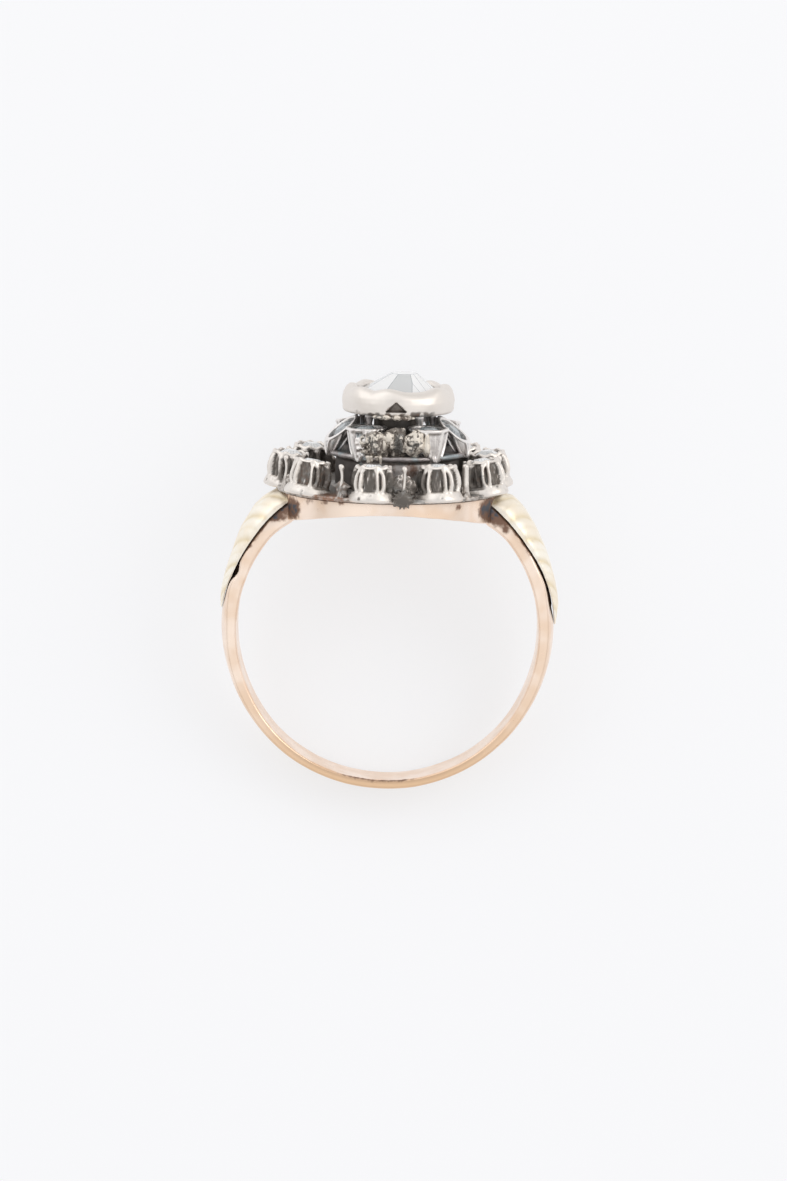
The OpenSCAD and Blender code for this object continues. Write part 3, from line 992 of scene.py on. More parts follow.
@dataclass
class LowerTier:
    """The ring of ten cut-down collets, with their posts and the ring that carries them."""

    seats: Sequence[Seat] = (
        Seat(-52, 30, 0.4, -11),
        Seat(-9.5, -2, 0.1),
        Seat(28, -34, 0.25),
        Seat(66, -22, 0.3, -9),
        Seat(104, 10, 0.0, -7),
        Seat(134, 12),
        Seat(163, -8),
        Seat(197, 5),
        Seat(232, 20),
        Seat(268, -25, 0.1, -7),
    )
    posts: Sequence[Post] = (
        Post(-26, mound=1.0, stain=0.5),
        Post(7.5, mound=0.1, stain=0.1),
        Post(43, neck=0.17, ball=0.18, mound=0.2),
        *(Post(turn) for turn in (85, 119, 148, 180)),
        Post(214, mound=1.0),
        Post(250),
        Post(289),
    )
    ridges: Sequence[Ridge] = (
        Ridge(((0, 27), (0.5, 25), (1, 24)), 5.6),
        Ridge(((0, 43), (0.3, 46), (0.75, 44), (1, 34)), 7.6),
        Ridge(((0, 97), (0.5, 92), (1, 84)), 9.5),
        Ridge(((0, 134), (0.5, 132), (1, 127)), 8.5),
        Ridge(((0, 170), (0.5, 168), (1, 166)), 8.0),
    )
    claws: Sequence[float] = (-24, 24, -62, 62, -100, 100, -140, 140, 180)
    out: float = 5.85
    up: float = 7.7
    collet_h: float = 2.05
    core_r: float = 0.98
    core_top_r: float = 0.9
    stone_r: float = 0.8
    window_low: float = 0.6
    window_high: float = 1.86
    carrier_r: float = 6.45
    carrier_hole_r: float = 3.0
    carrier_h: float = 0.25
    post_out: float = 6.15
    mound_out: float = 6.05
    mound_up: float = 0.55
    debris_at: Sequence[float] = (7.5, 5.7, 8.56)
    burr_at: Sequence[float] = (6.6, 6.5, 7.98)

    def outline(self) -> Rows:
        """Returns a collet's profile, from the middle of its foot to the middle of its seat."""
        seat = self.stone_r + 0.05
        skirt = ((0, 0.0, 1), (1.2, 0.0, 2), (1.31, 0.05, 2), (1.335, 0.16, 2), (1.31, 0.28, 1))
        waist = ((1.24, 0.42, 2), (1.175, 0.54, 2), (1.17, 0.64, 2), (1.22, 0.82, 3), (1.245, 1.0, 3))
        wall = ((1.235, 1.2, 3), (1.19, 1.45, 4), (1.11, 1.7, 4), (1.05, 1.84, 3), (1.01, 1.96, 2))
        rim = ((0.97, 2.04, 2), (0.91, 2.06, 1), (0.87, 2.02, 1), (seat, 1.95, 1), (seat, 1.69, 2))
        bowl = ((0.8, 1.66, 1), (0.35, 1.15, 3), (0, 1.1, 1))
        return skirt + waist + wall + rim + bowl

    def wall(self, turn: float, radius: float, height: float, seed: float) -> tuple[float, float]:
        """Carves a collet's wall into ribs with dark windows between them.

        Args:
            turn: The turn round the collet, in degrees.
            radius: The wall's own radius there.
            height: The height there.
            seed: Which small irregularities the collet has.

        Returns:
            The carved radius and the patina.
        """
        low, high = self.window_low, self.window_high
        share = clamp((height - low) / (high - low))
        bend = 1.2 * grain(Vector((turn / 40, height, seed)), 0.6)
        flare = 1 + 0.9 * ease(0.78, 1.0, share) + 0.6 * ease(0.2, 0.0, share)
        rib = max(ridge.height(turn + bend, share, flare) for ridge in self.ridges)
        ragged = 0.03 * grain(Vector((turn / 12, 0, seed)), 1.0)
        solid = max(ease(low + 0.05, low - 0.06, height + ragged), ease(high - 0.04, high + 0.03, height))
        raised = max(rib, solid)
        streak = grain(Vector((turn / 11, height * 1.6, seed)), 1.0)
        fleck = grain(Vector((turn / 4.5, height * 3.5, seed + 3)), 1.0)
        floor = blend(self.core_r, self.core_top_r, share) - 0.02 + 0.045 * streak + 0.02 * fleck
        deep = 1 - ease(0.1, 0.45, raised)
        return blend(floor, radius, raised), deep * (1.08 - 0.6 * streak - 0.5 * fleck)

    def collet(self, number: int) -> Form:
        """Makes one collet with its carved wall and claws.

        Args:
            number: Which collet.

        Returns:
            A new form, its foot on the plane z = 0 and its outer side towards -Y.
        """
        seed = 11.0 * number
        own = self.seats[number]

        def mould(place: Vector) -> Moulded:
            """Carves the collet's wall, claws and pits.

            Args:
                place: A point's place.

            Returns:
                The point's new place, its patina and its stain.
            """
            turn = turn_of(place)
            around = wrapped(turn - own.spin)
            radius, height = place.xy.length, place.z
            dark = 0.0
            if 0.45 < height < 1.97 and radius > 0.95:
                radius, dark = self.wall(around, radius, height, seed)
                # Partly dirt, partly painted shade: the wall darkens where it faces the neighbouring collets.
                dark = max(dark, ease(52, 78, abs(turn)) * ease(1.92, 1.6, height))
            elif radius < self.stone_r and height > 0.5:
                dark = 0.35
            if height > 1.72:
                tip = hill(min(abs(wrapped(around - claw)) for claw in self.claws), 0, 11)
                rim = ease(1.8, 2.02, height)
                height += rim * (0.09 * tip - 0.06)
                radius += rim * 0.03 * tip * (1 if radius > 0.95 else -1.2)
            moved = round_axis(turn, radius, height)
            if place.z < 0.56 and radius > 1:
                hole = crater(moved, 0.4, seed) * ease(-0.1, 0.3, grain(moved, 0.8, seed))
                radius -= 0.05 * hole * ease(0.1, 0.2, height)
                dark = max(dark, 0.8 * hole, 0.18 + 0.2 * grain(moved, 0.3, seed + 2))
            wobble = 0.024 * grain(moved, 0.7, seed) + 0.007 * grain(moved, 0.2, seed)
            moved = round_axis(turn, radius + wobble * ease(0.3, 1.0, radius), height + 0.6 * wobble)
            return moved, dark, own.stain * dark

        return reshape(spun(self.outline(), 240, 1), mould)

    def post(self, number: int) -> Form:
        """Makes one post with a ball top and a spread root.

        Args:
            number: Which post.

        Returns:
            A new form, its foot at the origin.
        """
        own = self.posts[number]
        neck, ball, top = own.neck, own.ball, self.collet_h - 0.16
        rows = [(0, 0, 1), (0.36, 0.0, 2), (0.24, 0.35, 3), (neck + 0.03, 0.85, 4), (neck, 1.2, 3)]
        rows += [(neck, top - 0.2, 4), (ball, top - 0.04, 3), (ball, top + 0.06, 2)]
        rows += [(ball * 0.7, top + 0.15, 2), (0, top + 0.18, 2)]
        seed = 5.0 + number

        def mould(place: Vector) -> Moulded:
            """Bends the post and roughens its root.

            Args:
                place: A point's place.

            Returns:
                The point's new place, its patina and its stain.
            """
            sway = 0.08 * grain(Vector((0, 0, place.z)), 0.9, seed)
            low = 1 - ease(0.7, 1.2, place.z)
            wobble = 0.02 * grain(place, 0.3, seed) + 0.06 * low * grain(place, 0.25, seed)
            return place + Vector((sway + wobble, 0.5 * sway, 0)), 0.75 * low, own.stain * low

        return reshape(spun(rows, 22, 1), mould)

    def carrier(self) -> Form:
        """Returns the flat ring that carries the collets, with its ragged hand-cut edge."""
        hole, rim, top, edge = self.carrier_hole_r, self.carrier_r, self.carrier_h, 0.06
        rows = [(hole, 0.0, 1), (rim - edge, 0.0, 5), (rim, edge, 1), (rim, top - edge, 2)]
        rows += [(rim - edge, top, 1), (hole, top, 8)]

        def mould(place: Vector) -> Moulded:
            """Makes the ring's edge and top uneven.

            Args:
                place: A point's place.

            Returns:
                The point's new place, its patina and its stain.
            """
            near = ease(5.6, 6.4, place.xy.length)
            shift = 1 + near * (0.02 * grain(place, 0.5, 2.0) + 0.01 * grain(place, 0.2, 4.0))
            rise = 0.05 * grain(place, 0.35, 8.0) * ease(0.0, 0.2, place.z)
            return Vector((place.x * shift, place.y * shift, place.z + rise)), 0.8, 0.0

        made = reshape(spun(rows, 260, closed=True), mould)
        rust = [(*round_axis(-33, 6.3, 0.1), 1.8, 1.0), (*round_axis(46, 6.3, 0.1), 1.0, 0.5)]
        paint(made, STAIN, rust)
        return made

    def mound(self, number: int) -> Form:
        """Makes the rough mound of old solder at the root of a post, with webs to both sides.

        Args:
            number: Which post.

        Returns:
            A new form, its middle at the origin.
        """
        own = self.posts[number]
        size = Vector((0.36, 0.26, 0.62)) * (0.55 + 0.45 * own.mound)

        def mould(place: Vector) -> Moulded:
            """Squeezes the lump and draws the webs out of it.

            Args:
                place: A point's place.

            Returns:
                The point's new place, its patina and its stain.
            """
            level = place.z / size.z
            web = hill(level, 0.5, 0.16) * own.mound
            place.x *= 1 + web - 0.25 * ease(0.5, 1.0, level)
            rough = grain(place, 0.2, number)
            return place * (1 + 0.035 * rough), clamp(0.8 - 0.5 * rough), own.stain

        return reshape(lump(size, 0.14, 3.0 * number, 5), mould)

    @staticmethod
    def debris() -> Form:
        """Returns the dark cinder of old solder that fills the gap between the two front collets."""

        def mould(place: Vector) -> Moulded:
            """Raises ragged twigs on the lump.

            Args:
                place: A point's place.

            Returns:
                The point's new place, its patina and its stain.
            """
            rough = grain(place, 0.2, 4.0)
            twig = hill(grain(place, 0.3, 12.0), 0.0, 0.08) * ease(0.0, 0.5, place.z)
            moved = place * (1 + 0.07 * rough + 0.05 * twig)
            return moved, clamp(1.0 - 0.3 * rough - 0.65 * twig), 0.35 * twig + 0.25

        return reshape(lump(Vector((0.78, 0.4, 0.66)), 0.16, 5.0, 6), mould)

    @staticmethod
    def burr() -> Form:
        """Returns the jagged dark bead of solder that has run down between the two front collets."""

        def mould(place: Vector) -> Moulded:
            """Draws spikes out of the lump's rim.

            Args:
                place: A point's place.

            Returns:
                The point's new place, its patina and its stain.
            """
            angle = math.atan2(place.x, -place.z)
            spike = max(0.0, math.sin(11 * angle + 1.5 * math.sin(3 * angle)))
            rim = ease(0.24, 0.46, math.hypot(place.x, place.z))
            grow = 1 + 0.3 * rim * spike
            moved = Vector((place.x * grow, place.y * (1 - 0.4 * rim), place.z * grow))
            return moved, 1.3 + 0.3 * grain(moved, 0.2, 3.0), 0.0

        return reshape(lump(Vector((0.5, 0.2, 0.46)), 0.1, 6.0, 5, 0.3), mould)

    def build(self, material: bpy.types.Material) -> None:
        """Builds the lower tier's collets and what carries them, and lays them down.

        Args:
            material: The tier's silver.
        """
        for number, seat in enumerate(self.seats):
            form = self.collet(number)
            form.transform(around_head(seat.turn, self.out, self.up, seat.lean))
            finish_piece(form, f"silver_collet_{number + 1}", material, "lower_tier")
        made = bmesh.new()
        for number, post in enumerate(self.posts):
            merge(made, self.post(number), around_head(post.turn, self.post_out, self.up))
            place = around_head(post.turn, self.mound_out, self.up + self.mound_up)
            merge(made, self.mound(number), place)
        merge(made, self.carrier(), Matrix.Translation((0, 0, self.up)))
        merge(made, self.debris(), around_head(*self.debris_at))
        merge(made, self.burr(), around_head(*self.burr_at))
        finish_piece(made, "silver_carrier_ring", material, "lower_tier")


@dataclass(frozen=True)
class Cup:
    """The place of one cup: its turn round the head, its spin, its lean and its side pitted by old solder."""

    turn: float
    spin: float = 0.0
    lean: float = 4.0
    pitted: tuple[float, float] | None = None
    out: float = 3.12
    up: float = 11.48


@dataclass
class MiddleTier:
    """The dark drum with its flange, seven cups cut into shields and the pillars under the centre collet.

    A pillar has its turn and its thickness. A lump of the crust has its turn, its distance out, its height,
    its three radii and how dark it is. A drip has its turn, its length and its thickness.
    """

    cups: Sequence[Cup] = (
        Cup(-80, 5, 38, None, 3.22, 11.2),
        Cup(-34, 6, 1, (-6, 100)),
        Cup(33, -13, 1, (-110, -40)),
        Cup(78, 0, 38, None, 3.22, 11.2),
        Cup(129, 4, 12),
        Cup(180, 0, 6),
        Cup(230, -5, 12),
    )
    pillars: Rows = ((-95, 1), (-53, 1.2), (37, 1.5), (75, 1), (120, 1), (165, 1), (205, 1), (235, 1))
    crust_lumps: Rows = (
        (-28.0, 3.68, 10.66, 0.72, 0.44, 0.8, 0.15),
        (-17.0, 3.7, 10.5, 0.62, 0.42, 0.78, 0.5),
        (14.5, 3.72, 10.72, 0.6, 0.42, 0.76, 0.1),
        (24.0, 3.95, 10.6, 0.22, 0.24, 0.7, -0.2),
        (-1.0, 3.4, 10.76, 0.82, 0.3, 0.86, 0.72),
        (-7.5, 3.95, 11.05, 0.34, 0.22, 0.34, -0.05),
        (-10.5, 3.95, 10.75, 0.12, 0.16, 0.4, 0.1),
        (-4.5, 3.95, 10.75, 0.12, 0.16, 0.36, 0.2),
    )
    runs: Rows = ((-23.5, 0.5, 0.12), (-21.0, 0.42, 0.09), (-13.5, 0.62, 0.07), (-16.5, 0.3, 0.08))
    shields: Sequence[float] = (-54, 0, 54, 108, -108)
    crust_lean: float = 4.0
    drum_stains: Rows = ((0.8, -3.4, 9.2, 0.4, 1.6), (-0.4, -3.4, 9.2, 0.8, 0.6))
    beads: int = 11
    bead_from: float = -24.0
    bead_step: float = 4.0
    bead_out: float = 3.02
    bead_up: float = 12.08
    run_out: float = 4.0
    run_up: float = 10.05
    shift: float = 0.38
    cup_r: float = 1.17
    stone_r: float = 0.86
    foot_out: float = 3.84
    foot_up: float = 9.64
    foot_half: float = 0.2
    drum_r: float = 3.5
    drum_low: float = 7.98
    flange_r: float = 3.95
    flange_top: float = 9.98
    neck_hole_r: float = 1.4
    pillar_r: float = 0.16
    pillar_out: float = 2.0
    pillar_top: float = 12.07

    def cup(self, number: int) -> Form:
        """Makes one cup, a shield-cut shell that leans outwards from a narrow foot.

        Args:
            number: Which cup.

        Returns:
            A new form, in the frame of the tier.
        """
        own = self.cups[number]
        seat = (self.stone_r + 0.05) / self.cup_r
        rows = [(0, 0, 1), (1, 0, 3), (1, 1, 40), (0.97, 1.03, 2), (seat + 0.06, 1.04, 2)]
        rows += [(seat, 1.0, 2), (seat, 0.78, 4), (0.2, 0.35, 4), (0, 0.32, 1)]
        seed = 17.0 * number

        def mould(place: Vector) -> Moulded:
            """Leans the cup, cuts its shields and pits its outer side.

            Args:
                place: A point's place.

            Returns:
                The point's new place, its patina and its stain.
            """
            angle = math.radians(turn_of(place))
            turn = math.degrees(angle)
            radius = place.xy.length
            share = clamp(place.z)
            inside = radius < seat + 0.02 and place.z > 0.3
            along = 1.0 if inside else share**0.8
            half_side = blend(self.foot_half, self.cup_r, 1.0 if inside else share**0.55)
            half_out = blend(self.foot_half, self.cup_r, along)
            out = blend(self.foot_out, own.out, along)
            up = blend(self.foot_up, own.up, 1.0 if inside else share)
            dark = 0.4 if inside else 0.25
            if radius > 0.99 and place.z <= 1.0:
                nearest = min(abs(wrapped(turn - own.spin - middle)) for middle in self.shields)
                edge = nearest - blend(15.0, 23.0, ease(0.0, 0.6, share))
                sunk = ease(1.5, -5.0, edge) * ease(0.96, 0.84, share)
                cut = 0.13 * sunk * ease(0.0, 0.25, share)
                half_side -= cut
                half_out -= cut
                streak = grain(Vector((turn / 6, share, seed)), 1.0)
                dark = clamp(0.06 + sunk * (0.25 - 0.25 * streak) + 0.4 * (1 - ease(0.0, 0.3, share)))
            drop = (place.z - 1.0) * 1.3 if inside else max(place.z - 1.0, 0)
            flat = Vector((half_side * math.sin(angle) * radius, -half_out * math.cos(angle) * radius, drop))
            moved = around_head(own.turn, out, up, own.lean * along) @ flat
            facing = 0.0
            if own.pitted and not inside:
                first, last = own.pitted
                facing = ease(first - 5, first + 7, turn) * ease(last + 5, last - 7, turn)
            if facing > 0:
                rough = grain(moved, 0.45, seed) + 0.5 * grain(moved, 0.18, seed)
                hole = crater(moved, 0.34, seed)
                push = facing * (0.06 + 0.12 * rough - 0.16 * hole)
                moved += Vector((moved.x, moved.y, 0)).normalized() * push * ease(0.05, 0.25, share)
                dark = blend(dark, clamp(0.25 - 0.5 * rough + 0.8 * hole), facing)
            else:
                moved.z += 0.03 * grain(moved, 0.6, seed)
            return moved, clamp(dark), 0.0

        made = reshape(spun(rows, 180), mould)
        bmesh.ops.recalc_face_normals(made, faces=made.faces)
        return made

    def drum(self) -> Form:
        """Returns the drum, its flange and the socket for the neck."""
        top, drum, flange, neck = self.flange_top, self.drum_r, self.flange_r, self.neck_hole_r
        rows = [(0, self.drum_low, 1), (drum - 0.05, self.drum_low, 3), (drum, self.drum_low + 0.05, 1)]
        rows += [(drum - 0.04, top - 0.42, 16), (drum + 0.12, top - 0.3, 3)]
        rows += [(flange - 0.05, top - 0.27, 4), (flange, top - 0.2, 2), (flange, top - 0.07, 2)]
        rows += [(flange - 0.07, top, 2), (neck, top, 12), (neck, top - 0.5, 3), (0, top - 0.5, 2)]

        def mould(place: Vector) -> Moulded:
            """Makes the drum uneven and paints its patina, with painted shade below the flange and painted
            light on its front.

            Args:
                place: A point's place.

            Returns:
                The point's new place, its patina and its stain.
            """
            wobble = 1 + 0.008 * grain(place, 0.9, 1.0) + 0.004 * grain(place, 0.25, 2.0)
            low = ease(top - 0.3, top - 0.5, place.z)
            front = ease(50, 20, abs(turn_of(place) - 2))
            # Darker below the flange, partly patina and partly painted shade; the front is painted lighter as
            # painted light, where it lies in shade.
            dark = blend(blend(0.85, 1.3, low), 0.05 + 0.3 * grain(place, 0.6, 3.0), low * front)
            rise = 0.02 * grain(place, 0.5, 6.0)
            return Vector((place.x * wobble, place.y * wobble, place.z + rise)), dark, 0.0

        return reshape(spun(rows, 180), mould)

    def pillar(self, thick: float, seed: float) -> Form:
        """Makes one pillar under the centre collet.

        Args:
            thick: How many times the usual thickness it has.
            seed: Which bends it gets.

        Returns:
            A new form, its foot at the origin.
        """
        tall = self.pillar_top - self.flange_top + 0.1
        r = self.pillar_r * thick
        rows = [(0, 0, 1), (r * 1.6, 0, 2), (r, 0.5, 4), (r * 0.85, tall - 0.5, 5)]
        rows += [(r * 1.3, tall - 0.12, 4), (r * 1.2, tall, 1), (0, tall, 1)]

        def mould(place: Vector) -> Moulded:
            """Bends the pillar.

            Args:
                place: A point's place.

            Returns:
                The point's new place, its patina and its stain.
            """
            wobble = 0.06 * grain(place, 0.4, seed)
            return place + Vector((wobble, -wobble, 0)), 0.75 - 0.7 * ease(1.2, 1.5, thick), 0.0

        return reshape(spun(rows, 20), mould)

    @staticmethod
    def pitted(size: Vector, dim: float, seed: float, rusty: float, detail: int) -> Form:
        """Makes a lump of old solder, mottled and pitted.

        Args:
            size: Its three radii.
            dim: How dark it is as a whole, from 0 to 1.
            seed: Which pits it gets.
            rusty: How brown its stains are, from 0 to 1.
            detail: How often the sphere it starts from is subdivided.

        Returns:
            A new form.
        """

        def mould(place: Vector) -> Moulded:
            """Breaks the lump's skin into cells and pits.

            Args:
                place: A point's place.

            Returns:
                The point's new place, its patina and its stain.
            """
            rough = grain(place, 0.26, seed + 3) + 0.5 * grain(place, 0.12, seed + 5)
            cell = hill(grain(place, 0.24, seed + 9), 0.0, 0.1)
            moved = place * (1 + 0.06 * rough - 0.05 * cell)
            return moved, clamp(dim + 0.3 - 1.1 * rough + 0.35 * cell), rusty

        return reshape(lump(size, 0.26, seed, detail), mould)

    def crust(self) -> Form:
        """Returns the pitted crust of old solder that bridges the two front cups, with its drips."""
        made = bmesh.new()
        for number, (turn, out, up, wide, deep, tall, dim) in enumerate(self.crust_lumps):
            detail = 6 if wide > 0.5 else 5
            form = self.pitted(Vector((wide, deep, tall)), dim, 8.0 + number, 0.2, detail)
            merge(made, form, around_head(turn, out, up, self.crust_lean))
        for number in range(self.beads):
            size = Vector((0.2, 0.12, 0.12)) * (1 + 0.4 * math.sin(2.4 * number))
            form = self.pitted(size, 0.35 + 0.35 * math.sin(1.7 * number), 30.0 + number, 0.4, 4)
            up = self.bead_up + 0.05 * math.sin(3.1 * number)
            merge(made, form, around_head(self.bead_from + self.bead_step * number, self.bead_out, up))
        for number, (turn, long, thick) in enumerate(self.runs):
            rows = [(0, 0, 1), (thick * 1.5, 0.03, 2), (thick, long * 0.6, 3)]
            rows += [(thick * 1.1, long * 0.85, 2), (0, long, 2)]
            form = spun(rows, 14, 1)
            reshape(form, lambda place: (place + Vector((0.05 * grain(place, 0.2, 3.0), 0, 0)), 0.12, 0.0))
            hung = around_head(turn, self.run_out, self.run_up, 4 * number)
            merge(made, form, hung @ Matrix.Rotation(math.pi, 4, "X"))
        return made

    def build(self, material: bpy.types.Material) -> None:
        """Builds the middle tier and its crust, and lays them down.

        Args:
            material: The tier's oxidised silver.
        """
        made = bmesh.new()
        for number in range(len(self.cups)):
            merge(made, self.cup(number))
        merge(made, self.drum())
        for number, (turn, thick) in enumerate(self.pillars):
            place = around_head(turn, self.pillar_out, self.flange_top - 0.1)
            merge(made, self.pillar(thick, 3.0 * number), place)
        paint(made, STAIN, self.drum_stains)
        crust = ("pitted_solder_crust", self.crust(), SOLDER.material())
        for name, form, finish in (("oxidised_middle_tier", made, material), crust):
            bmesh.ops.translate(form, verts=form.verts, vec=(self.shift, 0, 0))
            finish_piece(form, name, finish, "middle_tier")


@dataclass
class CentreSetting:
    """The large collet on top, with its neck, rolled rim and notches, sunk into its wall and painted dark as
    painted shade.

    A notch has its turn, its width and its height.
    """

    claw_turns: Sequence[float] = (-52, -12, 55, 95, 135, 180, 225, 265)
    notches: Rows = (
        (-2, 1.3, 0.6),
        (90, 0.9, 0.5),
        (135, 0.7, 0.4),
        (180, 1.1, 0.5),
        (225, 0.6, 0.35),
        (272, 0.9, 0.5),
    )
    shift: float = 0.38
    collet_r: float = 3.2
    low: float = 12.1
    rim: float = 13.45
    neck_r: float = 1.35
    neck_low: float = 9.51
    stone_r: float = 2.45
    girdle: float = 13.0
    notch_low: float = 0.28

    def outline(self) -> Rows:
        """Returns the profile, from the middle of the neck's foot to the middle of the seat."""
        low, rim, r, seat = self.low, self.rim, self.collet_r, self.stone_r + 0.05
        lip = seat - 0.22
        rows = [(0, self.neck_low, 1), (self.neck_r, self.neck_low, 3), (self.neck_r, low, 10)]
        rows += [(r - 0.3, low, 7), (r - 0.12, low + 0.04, 3), (r - 0.03, low + 0.16, 3)]
        rows += [(r, low + 0.45, 5), (r, low + 0.72, 5), (r - 0.08, rim - 0.32, 5)]
        rows += [(r - 0.24, rim - 0.1, 3), (r - 0.5, rim + 0.06, 3), (lip + 0.08, rim + 0.02, 3)]
        rows += [(lip, rim - 0.12, 2), (lip + 0.08, rim - 0.2, 1), (seat, rim - 0.3, 2)]
        rows += [(seat, self.girdle - 0.07, 2), (0.9, self.girdle - 0.9, 8), (0, self.girdle - 0.92, 2)]
        return rows

    def build(self, material: bpy.types.Material) -> None:
        """Builds the centre setting and lays it down.

        Args:
            material: The setting's silver.
        """
        low, rim, r = self.low, self.rim, self.collet_r
        lip = self.stone_r - 0.17

        def mould(place: Vector) -> Moulded:
            """Raises the claws, cuts the notches and makes the metal uneven.

            Args:
                place: A point's place.

            Returns:
                The point's new place, its patina and its stain.
            """
            turn = turn_of(place)
            radius, height = place.xy.length, place.z
            skin = ease(r - 0.9, r - 0.4, radius)
            # Painted shade: the neck and the collet's underside are painted fully dark.
            dark = 1.0 if height < low + 0.03 and radius < r - 0.3 else 0.0
            tip = max(hill(wrapped(turn - claw), 0, 15) for claw in self.claw_turns)
            upper = ease(lip - 0.02, lip + 0.1, radius) * ease(rim - 0.35, rim + 0.05, height)
            height += upper * (0.2 * tip - 0.04)
            radius += skin * (0.08 * tip * ease(low + 0.3, rim, height) - 0.04)
            if skin > 0.5 and low + 0.1 < place.z < rim:
                for middle, width, tall in self.notches:
                    aside = abs(math.radians(wrapped(turn - middle))) * r
                    level = (place.z - low - self.notch_low) / tall
                    inside = (1 - level) * width / 2 - aside if 0 < level < 1 else -1.0
                    cut = ease(-0.01, 0.06, inside)
                    radius -= 0.4 * cut
                    # The notches are only sunk, and painted dark as painted shade of a piercing.
                    dark = max(dark, 0.85 * cut)
            moved = round_axis(turn, radius, height)
            wobble = (0.035 * grain(moved, 1.1, 1.0) + 0.012 * grain(moved, 0.35, 5.0)) * skin
            moved = round_axis(turn, radius + wobble, height + 0.4 * wobble)
            fringe = ease(low + 0.42, low + 0.2, place.z) * skin
            dirt = ease(-0.35, 0.25, grain(moved, 0.35, 9.0)) * ease(60, 25, abs(turn + 3))
            dark = clamp(max(dark, fringe * dirt))
            return moved, dark, 0.5 * dark if low + 0.05 < moved.z < low + 0.5 else 0.0

        made = reshape(spun(self.outline(), 280, 1), mould)
        bmesh.ops.translate(made, verts=made.verts, vec=(self.shift, 0, 0))
        finish_piece(made, "silver_centre_collet", material, "centre_setting")


@dataclass(frozen=True)
class Cut:
    """The proportions of an old cut stone, whose table may lie off its middle."""

    radius: float
    table_r: float
    crown: float
    pavilion: float
    table_aside: float = 0.0
    grey_edge: float = 0.012
    sides: int = 8
    girdle: float = 0.06

    @staticmethod
    def facet(turn: float, low: Vector, high: Vector) -> tuple[Vector, Vector]:
        """Returns a place on a facet's plane and the way that it faces.

        Args:
            turn: The turn that the facet faces, in degrees.
            low: A place on its outer edge.
            high: A place on its inner edge.

        Returns:
            The place and the direction.
        """
        away = round_axis(turn + 90, 1, 0).cross(high - low).normalized()
        return low, away if away.dot(round_axis(turn, 1, 0)) > 0 else -away

    def planes(self) -> list[tuple[Vector, Vector]]:
        """Returns a place on each facet's plane and the way that it faces."""
        step, level, table = 360 / self.sides, self.girdle / 2, self.table_r
        top = level + self.crown
        middle = Vector((self.table_aside, 0, 0))
        deep = Vector((0, 0, -level - self.pavilion))
        made = [(Vector((0, 0, top)), Vector((0, 0, 1)))]
        for turn in (i * step for i in range(self.sides)):
            rim = round_axis(turn, self.radius, level)
            made.append(self.facet(turn, rim, middle + round_axis(turn, table, top)))
            half = turn + step / 2
            shoulder = round_axis(half, (table + self.radius) / 2, level + 0.62 * self.crown)
            inner = middle + round_axis(half, table * 1.02, top)
            made.append(self.facet(half, middle * 0.5 + shoulder, inner))
            for beside in (turn - step / 4, turn + step / 4):
                edge = round_axis(beside, self.radius, level)
                inner = round_axis(beside, self.radius * 0.8, level + 0.34 * self.crown)
                made.append(self.facet(beside, edge, inner))
            made.append(self.facet(turn, round_axis(turn, self.radius, -level), deep))
        return made

    def stone(self, seed: float) -> Form:
        """Cuts a stone from a round blank, one facet at a time.

        Args:
            seed: Which small unevenness of the cut it gets.

        Returns:
            A new form, its girdle on the plane z = 0, its facets painted as reflections and their edges
            painted grey.
        """
        made = bmesh.new()
        blank = {"radius1": self.radius, "radius2": self.radius, "depth": 2 * (self.crown + self.pavilion)}
        bmesh.ops.create_cone(made, cap_ends=True, segments=32, **blank)
        for number, (at, away) in enumerate(self.planes()):
            if number:
                uneven = grain(Vector((number, 0.5 * number, 0)), 0.7, seed)
                at = at + away * 0.015 * self.radius * uneven
                away = away + Vector((uneven, -uneven, 0)) * 0.03
            self.grind(made, at, away.normalized())
        bmesh.ops.remove_doubles(made, verts=made.verts, dist=1e-4)
        bmesh.ops.recalc_face_normals(made, faces=made.faces)
        # Painted reflection: each facet gets a grey of its own, and the table is painted clear white.
        grey = made.faces.layers.float.new(PAINTED_FACET_REFLECTION)
        for number, face in enumerate(made.faces):
            around = math.radians(turn_of(face.normal))
            own = 0.08 + 0.3 * math.cos(3.2 * around) + 0.25 * math.sin(2.4 * number + seed)
            face[grey] = 0.0 if face.normal.z > 0.99 else clamp(own)
        # The facets' edges are inset and painted grey.
        worn = bmesh.ops.inset_individual(made, faces=made.faces[:], thickness=self.grey_edge)
        for face in worn["faces"]:
            face[grey] = 1.0
        return made

    @staticmethod
    def grind(form: Form, at: Vector, away: Vector) -> None:
        """Cuts a form off at a plane and closes the cut with one flat facet.

        Args:
            form: The form to cut.
            at: A place on the plane.
            away: The plane's direction, towards what is cut off.
        """
        parts = form.verts[:] + form.edges[:] + form.faces[:]
        plane = {"dist": 1e-5, "plane_co": at, "plane_no": away, "clear_outer": True}
        cut = bmesh.ops.bisect_plane(form, geom=parts, **plane)["geom_cut"]
        rim = [part for part in cut if isinstance(part, bmesh.types.BMEdge) and part.is_boundary]
        if len(rim) > 2:
            bmesh.ops.contextual_create(form, geom=rim)


